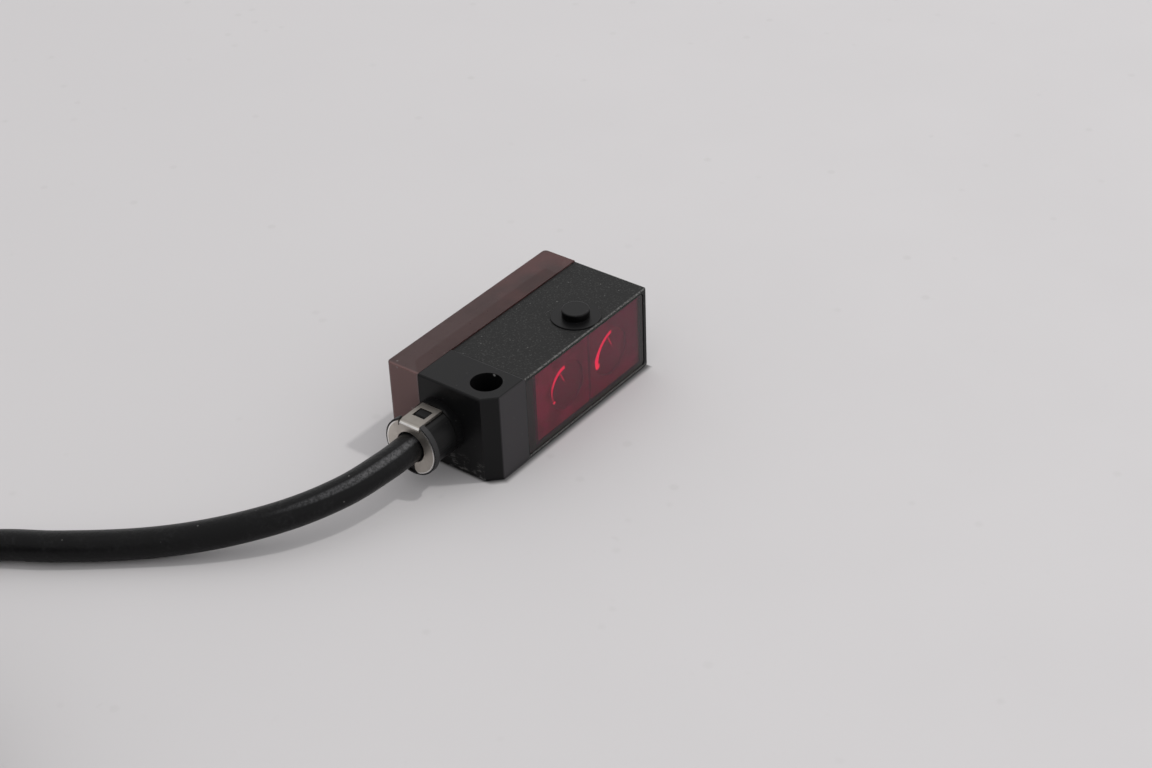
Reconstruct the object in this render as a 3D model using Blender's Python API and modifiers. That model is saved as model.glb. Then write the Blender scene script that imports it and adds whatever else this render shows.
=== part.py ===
"""A miniature background suppression sensor with its moulded housing, optics, electronics and cable.

The sensor lies on one wide face. X runs from the cable end to the far end, the window looks along -Y
and Z is up. Lengths are in millimetres, and MM turns them into metres. Places are measured from the
corner where the end face, the window face and the lower wide face meet, and one empty shifts them all
so that the origin is under the middle of the sensor without its cord.
"""

import math

import bmesh
import bpy
import numpy as np
from mathutils import Matrix, Vector

MM = 0.001

# Casing
END_BLOCK = 5.6
RECEIVER_FROM_BLOCK = 7.4
LENS_PITCH = 7.8
EMITTER_TO_END = 6.2
BODY_DEPTH = 9.7
COVER_DEPTH = 4.3
HEIGHT = 10.4
FACE_RELIEF = 0.15
CORNER_CHAMFER = 1.45
CORNER_RADIUS = 0.5
FRONT_CORNER_RADIUS = 0.25
EDGE_ROUND = 0.12
BLOCK_ROUND = 0.2
FIT = 0.05
COVER_WALL = 1.0
TONGUE_WALL = 0.4

# Window and the ledge behind it
WINDOW_FROM_BLOCK = 0.1
WINDOW_TO_END = 0.6
WINDOW_LIP = 0.5
WINDOW_POCKET = 0.65
WINDOW_SINK = 0.08
WINDOW_CORNER = 0.5

# Chamber of the optics, open to the back
CHAMBER_FROM_BLOCK = 2.1
CHAMBER_END_WALL = 1.05
CHAMBER_SIDE_WALL = 0.95
EAR_LENGTH = 0.8
EAR_SEAT = 2.0
BOARD_SEAT_DEPTH = 1.7

# Fixing hole and the locating stud in line with it
SCREW_HOLE = 3.4
SCREW_FROM_END = 2.9
SCREW_FROM_FRONT = 2.9
STUD_PITCH = 15.2
STUD_DIAMETER = 3.05
STUD_HEIGHT = 1.0
STUD_PAD_DIAMETER = 5.5
STUD_PAD_EDGE = 0.04

# Collar of the cable entry, on the end face
AXIS_TO_BOARD = 1.05
SHOULDER_STEP = 0.1
SHOULDER_LENGTH = 1.1
NECK_WALL = 0.75
NECK_LENGTH = 3.1
NECK_FLAT_DEPTH = 0.4
NUB_GAP = 0.1
NUB_HEIGHT = 0.3
NUB_RAMP = 0.3
SLEEVE_WALL = 0.5
SLEEVE_LENGTH = 3.6

# Grommet and the sheet-steel clip that holds it
FLANGE_STEP = 0.4
FLANGE_THICKNESS = 0.35
FLANGE_LIP = 0.15
CLIP_SHEET = 0.3
CLIP_HOLE_GAP = 0.2
CLIP_SLOT = 0.7
CLIP_LEG_ROUND = 0.5
STRAP_WIDTH = 2.6
STRAP_BEND = 0.25
STRAP_RELIEF = 0.12
STRAP_RELIEF_DEPTH = 0.12
STRAP_WINDOW_LENGTH = 1.4
STRAP_WINDOW_WIDTH = 1.6
STRAP_WINDOW_FROM_TIP = 0.85

# Wire pocket behind the end face
POCKET_END_WALL = 1.2
POCKET_FROM_BLOCK = 0.6
POCKET_GAP = 0.275
JACKET_INSIDE = 1.4

# Optics
LENS_DIAMETER = 5.6
LENS_EDGE = 0.9
LENS_FRONT_SAG = 0.2
LENS_BACK_SAG = 0.7
LENS_RIM = 0.5
LENS_SHOULDER = 0.2
DIVIDER_WIDTH = 0.4
DIVIDER_DEPTH = 0.35
DIODE_SIZE = (1.8, 0.7, 1.8)
DIODE_DOME = 0.6
DETECTOR_SIZE = (3.2, 0.9, 2.4)
PACKAGE_ROOM = 0.3
EMITTER_STOP = 1.6
DETECTOR_STOP = 2.6

# Circuit board
BOARD_THICKNESS = 0.8
BOARD_FROM_JACKET = 0.4
STAKE_DIAMETER = 0.8
STAKE_FROM_EDGE = 1.25
RESISTOR_FROM_EDGE = 1.25

# Cable, conductors and their ends
CABLE_DIAMETER = 3.2
WIRE_DIAMETER = 0.9
WIRE_SPREAD = 1.25
LEAD_SPREAD = 1.6

# Coil of the stored length, with its turns in rows and layers
COIL_FROM_EXIT = (-76.9, 18.25)
COIL_MEAN_DIAMETER = 33.2
COIL_ROWS = 5
COIL_LAYERS = 4
TIE_SHEET = 0.5
TIE_WIDTH = 2.5
TIE_HEAD = (3.4, 3.6, 2.2)
TIE_ANGLES = (22.0, 272.0)

# The cord's route as distances from its exit along X and Y, and its height
CORD_ROUTE = [
    (-3.5, 0.25, 4.95),
    (-8.6, 1.5, 4.3),
    (-14.0, 4.45, 3.45),
    (-19.4, 9.35, 2.4),
    (-24.1, 14.85, 1.72),
    (-29.3, 21.75, 1.62),
    (-32.4, 26.65, 1.62),
    (-36.1, 30.7, 1.62),
    (-40.9, 33.4, 1.62),
]
# The tail on top of the coil, as angles about it and distances inside its outer edge
TAIL_ROUTE = [
    (76.0, 3.4),
    (98.0, 3.8),
    (120.0, 4.2),
    (142.0, 4.6),
    (163.0, 5.0),
    (182.0, 5.2),
]
LEAD_TURN = 76.0

# Roundness of arcs and turned forms
ARC_STEPS = 5
ROUND_STEPS = 48
SMALL_STEPS = 24
HALF_STEP = 180 / ROUND_STEPS

# Places that follow from the sizes above
LENGTH = END_BLOCK + RECEIVER_FROM_BLOCK + LENS_PITCH + EMITTER_TO_END
DEPTH = BODY_DEPTH + COVER_DEPTH
MID_HEIGHT = HEIGHT / 2
BOARD_SEAT = BODY_DEPTH - BOARD_SEAT_DEPTH
CABLE_AXIS_FROM_FRONT = BOARD_SEAT - AXIS_TO_BOARD
RECEIVER_X = END_BLOCK + RECEIVER_FROM_BLOCK
EMITTER_X = RECEIVER_X + LENS_PITCH
CHAMBER_START = END_BLOCK + CHAMBER_FROM_BLOCK
CHAMBER_END = LENGTH - CHAMBER_END_WALL
BODY_TOP = HEIGHT - FACE_RELIEF
CABLE_RADIUS = CABLE_DIAMETER / 2
BORE_RADIUS = CABLE_RADIUS + 2 * FIT
SLEEVE_RADIUS = CABLE_RADIUS + FIT + SLEEVE_WALL
NECK_RADIUS = SLEEVE_RADIUS + FIT + NECK_WALL
NECK_FLAT = NECK_RADIUS - NECK_FLAT_DEPTH
FLANGE_RADIUS = NECK_RADIUS + FLANGE_STEP
CLIP_RADIUS = FLANGE_RADIUS - FLANGE_LIP - FIT
NECK_END = -SHOULDER_LENGTH - NECK_LENGTH
STRAP_TIP = -SHOULDER_LENGTH - FIT
CLIP_BACK = NECK_END - FIT - FLANGE_THICKNESS
CLIP_FACE = CLIP_BACK - CLIP_SHEET
JACKET_END = POCKET_END_WALL + JACKET_INSIDE
BOARD_START = JACKET_END + BOARD_FROM_JACKET
BOARD_FRONT = BOARD_SEAT + FIT
BOARD_BACK = BOARD_FRONT + BOARD_THICKNESS
BOARD_HALF = MID_HEIGHT - CHAMBER_SIDE_WALL - 2 * FIT
CARRIER_FRONT = WINDOW_POCKET + FIT
LENS_BACK = CARRIER_FRONT + LENS_SHOULDER + LENS_EDGE
ORIGIN_SHIFT = (-(LENGTH + CLIP_FACE) / 2, -DEPTH / 2, 0.0)
COIL_CENTRE = (CLIP_FACE + COIL_FROM_EXIT[0], CABLE_AXIS_FROM_FRONT + COIL_FROM_EXIT[1])
COIL_FLOOR = TIE_SHEET + 2 * FIT
COIL_WIDTH = COIL_ROWS * CABLE_DIAMETER
COIL_HEIGHT = COIL_LAYERS * CABLE_DIAMETER
COIL_INSIDE = COIL_MEAN_DIAMETER / 2 - COIL_WIDTH / 2
COIL_OUTSIDE = COIL_MEAN_DIAMETER / 2 + COIL_WIDTH / 2
COIL_TOP = COIL_FLOOR + COIL_HEIGHT
TAIL_HEIGHT = COIL_TOP + CABLE_RADIUS + FIT

COLOURS = {
    "black_plastic": ((0.040, 0.040, 0.041), 0.5, 0.0),
    "smoked_plastic": ((0.085, 0.052, 0.048), 0.3, 0.0),
    "red_window": ((0.150, 0.020, 0.028), 0.1, 0.0),
    "dark_carrier": ((0.110, 0.070, 0.075), 0.6, 0.0),
    "clear_lens": ((0.80, 0.80, 0.80), 0.05, 0.0),
    "board_green": ((0.020, 0.110, 0.045), 0.5, 0.0),
    "chip_black": ((0.020, 0.020, 0.022), 0.6, 0.0),
    "ceramic": ((0.38, 0.27, 0.17), 0.5, 0.0),
    "diode_red": ((0.70, 0.05, 0.05), 0.2, 0.0),
    "diode_green": ((0.10, 0.60, 0.15), 0.2, 0.0),
    "diode_yellow": ((0.80, 0.60, 0.05), 0.2, 0.0),
    "rubber_black": ((0.020, 0.020, 0.020), 0.7, 0.0),
    "steel": ((0.50, 0.47, 0.44), 0.35, 1.0),
    "jacket_black": ((0.030, 0.031, 0.034), 0.5, 0.0),
    "tie_white": ((0.70, 0.70, 0.68), 0.5, 0.0),
    "wire_brown": ((0.150, 0.055, 0.025), 0.4, 0.0),
    "wire_white": ((0.75, 0.75, 0.73), 0.4, 0.0),
    "wire_blue": ((0.020, 0.090, 0.450), 0.4, 0.0),
    "wire_black": ((0.020, 0.020, 0.020), 0.4, 0.0),
}
WIRES = ("brown", "white", "blue", "black")


def clear_scene():
    """Remove what the scene holds at the start."""
    for thing in list(bpy.data.objects):
        bpy.data.objects.remove(thing, do_unlink=True)


def make_collection(name):
    collection = bpy.data.collections.new(name)
    bpy.context.scene.collection.children.link(collection)
    return collection


def make_material(name):
    """A plain material with the colour, roughness and metallic value that the photograph shows."""
    if name in bpy.data.materials:
        return bpy.data.materials[name]
    colour, roughness, metallic = COLOURS[name]
    material = bpy.data.materials.new(name)
    material.use_nodes = True
    shader = material.node_tree.nodes["Principled BSDF"]
    shader.inputs["Base Color"].default_value = (*colour, 1.0)
    shader.inputs["Roughness"].default_value = roughness
    shader.inputs["Metallic"].default_value = metallic
    return material


def millimetres(*values):
    """A point or size in metres."""
    return Vector([value * MM for value in values])


def link(thing, material=None):
    """Put a finished object among the parts, under the empty that holds the sensor's frame."""
    parts.objects.link(thing)
    thing.parent = frame_empty
    if material:
        thing.data.materials.append(make_material(material))
    return thing


def as_tool(thing):
    """Make an object a cutter, or a form that is joined into another."""
    for collection in list(thing.users_collection):
        collection.objects.unlink(thing)
    tools.objects.link(thing)
    thing.hide_render = True
    thing.display_type = "WIRE"
    return thing


def boolean(thing, tool, operation):
    modifier = thing.modifiers.new(operation.title() + " " + tool.name, "BOOLEAN")
    modifier.operation = operation
    modifier.object = as_tool(tool)
    return thing


def cut(thing, *cutters):
    for cutter in cutters:
        boolean(thing, cutter, "DIFFERENCE")
    return thing


def join(thing, *others):
    for other in others:
        boolean(thing, other, "UNION")
    return thing


def round_edges(thing, width, segments=2, limit=50.0):
    """Round the edges that are sharper than the limit."""
    modifier = thing.modifiers.new("Rounded edges", "BEVEL")
    modifier.width = width * MM
    modifier.segments = segments
    modifier.limit_method = "ANGLE"
    modifier.angle_limit = math.radians(limit)
    return thing


def flatten_shading(thing):
    """Give the large faces of a cut piece the say over its smooth shading."""
    modifier = thing.modifiers.new("Weighted normals", "WEIGHTED_NORMAL")
    modifier.keep_sharp = True
    return thing


def shade(mesh, angle=35.0):
    mesh.shade_smooth()
    mesh.set_sharp_from_angle(angle=math.radians(angle))


def arc(centre, radius, start, end, steps=ARC_STEPS):
    """Points of an arc between two angles in degrees, both ends included."""
    angles = np.radians(np.linspace(start, end, steps + 1))
    return [(centre[0] + radius * math.cos(a), centre[1] + radius * math.sin(a)) for a in angles]


def rounded_rectangle(left, right, low, high, radius):
    """An anticlockwise outline with four round corners."""
    corners = [(right, high, 0), (left, high, 90), (left, low, 180), (right, low, 270)]
    outline = []
    for u, v, angle in corners:
        centre = (u - math.copysign(radius, u - left - 1e-6), v - math.copysign(radius, v - low - 1e-6))
        outline += arc(centre, radius, angle, angle + 90)
    return outline


TURNS = {
    "X": Matrix(((0, 0, 1, 0), (1, 0, 0, 0), (0, 1, 0, 0), (0, 0, 0, 1))),
    "Y": Matrix.Rotation(math.radians(90), 4, "X"),
    "Z": Matrix.Identity(4),
}


def prism(name, outlines, start, end, axis, material=None):
    """A flat outline, with any holes as further outlines, extruded along an axis.

    The outline lies in the YZ plane for X, in XZ for Y and in XY for Z.
    """
    curve = bpy.data.curves.new(name, "CURVE")
    curve.dimensions = "2D"
    curve.fill_mode = "BOTH"
    curve.extrude = (end - start) / 2 * MM
    for outline in outlines:
        spline = curve.splines.new("POLY")
        spline.points.add(len(outline) - 1)
        for point, (u, v) in zip(spline.points, outline):
            point.co = (u * MM, v * MM, 0.0, 1.0)
        spline.use_cyclic_u = True
    middle = (start + end) / 2 * MM
    shift = {"X": (middle, 0, 0), "Y": (0, middle, 0), "Z": (0, 0, middle)}[axis]
    return link(mesh_of_curve(name, curve, Matrix.Translation(shift) @ TURNS[axis]), material)


def mesh_of_curve(name, curve, placed):
    """A new object that holds the curve's welded mesh, placed by a matrix."""
    drawn = bpy.data.objects.new(name, curve)
    bpy.context.scene.collection.objects.link(drawn)
    bpy.context.view_layer.update()
    mesh = bpy.data.meshes.new_from_object(drawn.evaluated_get(bpy.context.evaluated_depsgraph_get()))
    bpy.data.objects.remove(drawn)
    bpy.data.curves.remove(curve)
    welded = bmesh.new()
    welded.from_mesh(mesh)
    bmesh.ops.remove_doubles(welded, verts=welded.verts, dist=1e-7)
    bmesh.ops.dissolve_limit(
        welded, angle_limit=math.radians(0.1), verts=welded.verts, edges=welded.edges
    )
    bmesh.ops.transform(welded, matrix=placed, verts=welded.verts)
    bmesh.ops.recalc_face_normals(welded, faces=welded.faces)
    welded.to_mesh(mesh)
    welded.free()
    mesh.name = name
    shade(mesh)
    return bpy.data.objects.new(name, mesh)


def box(name, x, y, z, material=None):
    """A box between two values on each axis."""
    solid = bmesh.new()
    bmesh.ops.create_cube(solid, size=1.0)
    size = millimetres(x[1] - x[0], y[1] - y[0], z[1] - z[0])
    middle = millimetres((x[0] + x[1]) / 2, (y[0] + y[1]) / 2, (z[0] + z[1]) / 2)
    bmesh.ops.transform(
        solid, matrix=Matrix.Translation(middle) @ Matrix.Diagonal((*size, 1.0)), verts=solid.verts
    )
    mesh = bpy.data.meshes.new(name)
    solid.to_mesh(mesh)
    solid.free()
    return link(bpy.data.objects.new(name, mesh), material)


def turned(name, profile, axis, centre, steps=ROUND_STEPS, material=None, start=0.0):
    """A profile of radius and height turned about an axis through the centre.

    The height runs along the axis. The profile goes down the outer side, from the top.
    Its facets start at an angle in degrees.
    """
    outline = bmesh.new()
    points = [outline.verts.new(millimetres(radius, 0, height)) for radius, height in profile]
    for first, second in zip(points, points[1:]):
        outline.edges.new((first, second))
    if profile[0][0] > 0:
        outline.edges.new((points[-1], points[0]))
    mesh = bpy.data.meshes.new(name)
    outline.to_mesh(mesh)
    outline.free()
    thing = bpy.data.objects.new(name, mesh)
    modifier = thing.modifiers.new("Turned", "SCREW")
    modifier.steps = steps
    modifier.render_steps = steps
    modifier.use_merge_vertices = True
    modifier.merge_threshold = 1e-7
    placed = Matrix.Translation(millimetres(*centre)) @ TURNS[axis]
    if axis == "Y":
        placed = Matrix.Translation(millimetres(*centre)) @ Matrix.Rotation(math.radians(-90), 4, "X")
    thing.matrix_local = placed @ Matrix.Rotation(math.radians(start), 4, "Z")
    return link(thing, material)


def bore(name, diameter, axis, centre, low, high, steps=ROUND_STEPS, start=0.0):
    """A cylinder along an axis, used as a cutter or joined into a solid."""
    radius = diameter / 2
    profile = [(0.0, high), (radius, high), (radius, low), (0.0, low)]
    return turned(name, profile, axis, centre, steps, start=start)


def smooth_curve(route, spacing):
    """Points every so far along a smooth curve through the route's own points."""
    knots = [Vector(point) for point in route]
    knots = [2 * knots[0] - knots[1], *knots, 2 * knots[-1] - knots[-2]]
    fine = []
    for before, first, second, after in zip(knots, knots[1:], knots[2:], knots[3:]):
        span = (second - first).length
        leave = (second - before) * (span / ((second - first).length + (first - before).length))
        arrive = (after - first) * (span / ((after - second).length + (second - first).length))
        for t in np.linspace(0.0, 1.0, 40, endpoint=False):
            fine.append(
                first * (2 * t**3 - 3 * t**2 + 1)
                + leave * (t**3 - 2 * t**2 + t)
                + second * (3 * t**2 - 2 * t**3)
                + arrive * (t**3 - t**2)
            )
    fine.append(knots[-2])
    fine = np.array(fine)
    along = np.concatenate([[0.0], np.cumsum(np.linalg.norm(np.diff(fine, axis=0), axis=1))])
    stops = np.linspace(0.0, along[-1], max(2, round(along[-1] / spacing) + 1))
    return [tuple(float(np.interp(s, along, fine[:, k])) for k in range(3)) for s in stops]


def tube(name, points, diameter, material):
    """A round cord through its points, as a curve with filled ends."""
    curve = bpy.data.curves.new(name, "CURVE")
    curve.dimensions = "3D"
    curve.bevel_depth = diameter / 2 * MM
    curve.bevel_resolution = 2
    curve.use_fill_caps = True
    spline = curve.splines.new("POLY")
    spline.points.add(len(points) - 1)
    for point, place in zip(spline.points, points):
        point.co = (*millimetres(*place), 1.0)
    return link(bpy.data.objects.new(name, curve), material)


def make_housing():
    """The black moulding: body, screw block, collar, stud and the chambers inside."""
    behind = BODY_DEPTH + 1.0
    body_outline = [(END_BLOCK / 2, 0.0)]
    corner = (LENGTH - FRONT_CORNER_RADIUS, FRONT_CORNER_RADIUS)
    body_outline += arc(corner, FRONT_CORNER_RADIUS, 270, 360, 3)
    body_outline += [(LENGTH, behind), (END_BLOCK / 2, behind)]
    housing = prism("housing", [body_outline], FACE_RELIEF, BODY_TOP, "Z", "black_plastic")
    round_edges(housing, EDGE_ROUND)
    block_outline = [
        (CORNER_CHAMFER, 0.0),
        (END_BLOCK, 0.0),
        (END_BLOCK, behind),
        (0.0, behind),
        (0.0, CORNER_CHAMFER),
    ]
    block = prism("screw_block_form", [block_outline], 0.0, HEIGHT, "Z")
    round_edges(block, BLOCK_ROUND)
    join(housing, block, *collar_form())
    cut(housing, box("joint_cut", (-FIT, LENGTH + 1), (BODY_DEPTH, behind + 1), (-1, HEIGHT + 1)))
    join(housing, nub_form())
    cut(housing, *chamber_cutters(), cable_passage())
    stud_x = SCREW_FROM_END + STUD_PITCH
    join(housing, stud_form(stud_x))
    screw_hole = bore(
        "screw_hole_cut", SCREW_HOLE, "Z", (SCREW_FROM_END, SCREW_FROM_FRONT, 0), -1, HEIGHT + 1
    )
    cut(housing, screw_hole)
    # The exact solver leaves a slit along the block's rounded lower edge
    for modifier in housing.modifiers:
        if modifier.type == "BOOLEAN":
            modifier.solver = "MANIFOLD"
    return flatten_shading(housing)


def collar_form():
    """Shoulder and neck of the cable entry, turned about the cable's axis, with the neck's flat."""
    centre = (0, CABLE_AXIS_FROM_FRONT, MID_HEIGHT)
    diameter = 2 * (NECK_RADIUS + SHOULDER_STEP)
    inside = POCKET_END_WALL / 2
    shoulder = bore("shoulder_form", diameter, "X", centre, -SHOULDER_LENGTH, inside, start=HALF_STEP)
    profile = [
        (0.0, -SHOULDER_LENGTH / 2),
        (NECK_RADIUS, -SHOULDER_LENGTH / 2),
        (NECK_RADIUS, NECK_END + EDGE_ROUND),
        (NECK_RADIUS - EDGE_ROUND, NECK_END),
        (0.0, NECK_END),
    ]
    neck = turned("neck_form", profile, "X", centre)
    flat = box(
        "neck_flat_cut",
        (NECK_END - 1, 0),
        (CABLE_AXIS_FROM_FRONT - FLANGE_RADIUS, CABLE_AXIS_FROM_FRONT + FLANGE_RADIUS),
        (MID_HEIGHT + NECK_FLAT, MID_HEIGHT + FLANGE_RADIUS),
    )
    cut(neck, flat)
    return shoulder, neck


def nub_form():
    """The nub on the collar's flat that the strap of the clip snaps over."""
    end = STRAP_TIP - STRAP_WINDOW_FROM_TIP - NUB_GAP
    start = end + 2 * NUB_GAP - STRAP_WINDOW_LENGTH
    foot = MID_HEIGHT + NECK_FLAT
    outline = [
        (start, foot - FIT),
        (end, foot - FIT),
        (end, foot + NUB_HEIGHT),
        (start + NUB_RAMP, foot + NUB_HEIGHT),
        (start, foot),
    ]
    side = STRAP_WINDOW_WIDTH / 2 - NUB_GAP
    return prism(
        "nub_form", [outline], CABLE_AXIS_FROM_FRONT - side, CABLE_AXIS_FROM_FRONT + side, "Y"
    )


def stud_form(stud_x):
    """The round stud in line with the screw hole, on a low pad as high as the screw block."""
    radius = STUD_DIAMETER / 2
    pad_radius = STUD_PAD_DIAMETER / 2
    root = -CHAMBER_SIDE_WALL / 4
    profile = [(0.0, STUD_HEIGHT)]
    profile += [
        (r, h)
        for r, h in reversed(
            arc((radius - EDGE_ROUND, STUD_HEIGHT - EDGE_ROUND), EDGE_ROUND, 0, 90, 3)
        )
    ]
    profile += [
        (radius, FACE_RELIEF),
        (pad_radius - STUD_PAD_EDGE, FACE_RELIEF),
        (pad_radius, FACE_RELIEF - STUD_PAD_EDGE),
        (pad_radius, root),
        (0.0, root),
    ]
    centre = (stud_x, SCREW_FROM_FRONT, BODY_TOP)
    return turned("stud_form", profile, "Z", centre, start=HALF_STEP)


def chamber_cutters():
    """The window pocket, the chamber of the optics, the board's recess and the wire pocket."""
    window = rounded_rectangle(
        END_BLOCK + WINDOW_FROM_BLOCK,
        LENGTH - WINDOW_TO_END,
        WINDOW_LIP,
        HEIGHT - WINDOW_LIP,
        WINDOW_CORNER,
    )
    side = (CHAMBER_SIDE_WALL, HEIGHT - CHAMBER_SIDE_WALL)
    behind = BODY_DEPTH + 1.0
    pocket_half = 1.5 * WIRE_SPREAD + WIRE_DIAMETER / 2 + POCKET_GAP
    return [
        prism("window_pocket_cut", [window], -1.0, WINDOW_POCKET, "Y"),
        box("chamber_cut", (CHAMBER_START, CHAMBER_END), (WINDOW_POCKET / 2, behind), side),
        box("ear_cut", (CHAMBER_START - EAR_LENGTH, CHAMBER_END - 1), (EAR_SEAT, behind), side),
        box("board_cut", (BOARD_START - FIT, CHAMBER_END - 1), (BOARD_SEAT, behind), side),
        box(
            "wire_pocket_cut",
            (POCKET_END_WALL, END_BLOCK + POCKET_FROM_BLOCK),
            (CABLE_AXIS_FROM_FRONT - BORE_RADIUS, behind),
            (MID_HEIGHT - pocket_half, MID_HEIGHT + pocket_half),
        ),
    ]


def cable_passage():
    """The stepped bore for the grommet's sleeve and the cable."""
    wide = SLEEVE_RADIUS + FIT
    step = NECK_END + SLEEVE_LENGTH + FIT
    profile = [
        (0.0, POCKET_END_WALL + 1.0),
        (BORE_RADIUS, POCKET_END_WALL + 1.0),
        (BORE_RADIUS, step),
        (wide, step),
        (wide, NECK_END - 1.0),
        (0.0, NECK_END - 1.0),
    ]
    centre = (0, CABLE_AXIS_FROM_FRONT, MID_HEIGHT)
    return turned("cable_passage_cut", profile, "X", centre, start=HALF_STEP)


def make_rear_cover():
    """The smoked translucent cover, a tray whose tongue holds the board on its seat."""
    start = BODY_DEPTH + FIT
    deep = start - CORNER_RADIUS - 1.0
    outline = [(0.0, deep), (LENGTH, deep)]
    outline += arc((LENGTH - CORNER_RADIUS, DEPTH - CORNER_RADIUS), CORNER_RADIUS, 0, 90)
    outline += arc((CORNER_RADIUS, DEPTH - CORNER_RADIUS), CORNER_RADIUS, 90, 180)
    cover = prism("rear_cover", [outline], 0.0, HEIGHT, "Z", "smoked_plastic")
    round_edges(cover, EDGE_ROUND)
    cut(cover, box("cover_joint_cut", (-1, LENGTH + 1), (deep - 1, start), (-1, HEIGHT + 1)))
    tongue = box(
        "tongue_form",
        (BOARD_START, CHAMBER_END - FIT),
        (BOARD_BACK + FIT, start + COVER_WALL),
        (CHAMBER_SIDE_WALL + FIT, HEIGHT - CHAMBER_SIDE_WALL - FIT),
    )
    join(cover, tongue)
    inset = FIT + TONGUE_WALL
    cavity = box(
        "cover_cavity_cut",
        (BOARD_START + TONGUE_WALL, CHAMBER_END - inset),
        (BOARD_SEAT, DEPTH - COVER_WALL),
        (CHAMBER_SIDE_WALL + inset, HEIGHT - CHAMBER_SIDE_WALL - inset),
    )
    return flatten_shading(cut(cover, cavity))


def make_front_window():
    """The tinted plate in front of both lenses."""
    outline = rounded_rectangle(
        END_BLOCK + WINDOW_FROM_BLOCK + FIT,
        LENGTH - WINDOW_TO_END - FIT,
        WINDOW_LIP + FIT,
        HEIGHT - WINDOW_LIP - FIT,
        WINDOW_CORNER - FIT,
    )
    plate = prism("front_window", [outline], WINDOW_SINK, WINDOW_POCKET - FIT, "Y", "red_window")
    return round_edges(plate, FIT, segments=1)


def make_optics_carrier():
    """The block that holds both lenses and seats on a step of the housing and on the board."""
    low = CHAMBER_SIDE_WALL + FIT
    high = HEIGHT - CHAMBER_SIDE_WALL - FIT
    start = CHAMBER_START + FIT
    end = CHAMBER_END - FIT
    carrier = box("optics_carrier", (start, end), (CARRIER_FRONT, BOARD_SEAT), (low, high), "dark_carrier")
    ear = box(
        "carrier_ear_form",
        (CHAMBER_START - EAR_LENGTH + FIT, start + 1),
        (EAR_SEAT + FIT, BOARD_SEAT - FIT),
        (low + FIT, high - FIT),
    )
    join(carrier, ear)
    for stake_x, stake_z in stake_places():
        stake = bore(
            f"stake_form_{stake_z:.0f}",
            STAKE_DIAMETER,
            "Y",
            (stake_x, 0, stake_z),
            BOARD_SEAT - 1,
            BOARD_BACK + FIT,
            SMALL_STEPS,
        )
        join(carrier, stake)
    divider = (RECEIVER_X + EMITTER_X) / 2
    groove = box(
        "divider_groove_cut",
        (divider - DIVIDER_WIDTH / 2, divider + DIVIDER_WIDTH / 2),
        (CARRIER_FRONT - 1, CARRIER_FRONT + DIVIDER_DEPTH),
        (0, HEIGHT),
    )
    cut(carrier, groove)
    cut(carrier, *light_channel("receiver", RECEIVER_X, DETECTOR_STOP, DETECTOR_SIZE))
    cut(carrier, *light_channel("emitter", EMITTER_X, EMITTER_STOP, DIODE_SIZE))
    return carrier


def stake_places():
    """Where the carrier's two stakes pass through the board, at opposite corners."""
    near = (CHAMBER_START + STAKE_FROM_EDGE, CHAMBER_SIDE_WALL + STAKE_FROM_EDGE)
    far = (CHAMBER_END - STAKE_FROM_EDGE, HEIGHT - CHAMBER_SIDE_WALL - STAKE_FROM_EDGE)
    return [near, far]


def light_channel(name, axis_x, stop, package):
    """The lens seat, the cone behind it and the room for the package on the board."""
    package_front = BOARD_SEAT - package[1] - PACKAGE_ROOM
    seat = LENS_DIAMETER / 2 + FIT
    mouth = LENS_DIAMETER / 2 - LENS_RIM + FIT
    profile = [
        (0.0, package_front + FIT),
        (stop / 2, package_front + FIT),
        (mouth, LENS_BACK + FIT),
        (seat, LENS_BACK + FIT),
        (seat, CARRIER_FRONT - 1),
        (0.0, CARRIER_FRONT - 1),
    ]
    channel = turned(f"{name}_channel_cut", profile, "Y", (axis_x, 0, MID_HEIGHT))
    half_x = package[0] / 2 + PACKAGE_ROOM
    half_z = package[2] / 2 + PACKAGE_ROOM
    room = box(
        f"{name}_package_cut",
        (axis_x - half_x, axis_x + half_x),
        (package_front, BOARD_SEAT + 1),
        (MID_HEIGHT - half_z, MID_HEIGHT + half_z),
    )
    return channel, room


def dome(height, rim, sag):
    """Radius and height points of a shallow dome, from its rim to its top."""
    curvature = math.copysign((rim**2 + sag**2) / (2 * sag), sag)
    half_angle = math.degrees(math.asin(rim / abs(curvature)))
    top = math.copysign(90, sag)
    centre = (0.0, height + sag - curvature)
    points = arc(centre, abs(curvature), top - math.copysign(half_angle, sag), top, 6)
    return [*points[:-1], (0.0, height + sag)]


def make_lens(name, axis_x):
    """A lens with a shallow front and a deeper dome towards the board."""
    radius = LENS_DIAMETER / 2
    front_edge = LENS_BACK - LENS_EDGE
    profile = list(reversed(dome(LENS_BACK, radius - LENS_RIM, LENS_BACK_SAG)))
    profile += [(radius, LENS_BACK), (radius, front_edge)]
    profile += dome(front_edge, radius - 2 * FIT, -LENS_FRONT_SAG)
    return turned(name, profile, "Y", (axis_x, 0, MID_HEIGHT), ROUND_STEPS, "clear_lens")


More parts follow.
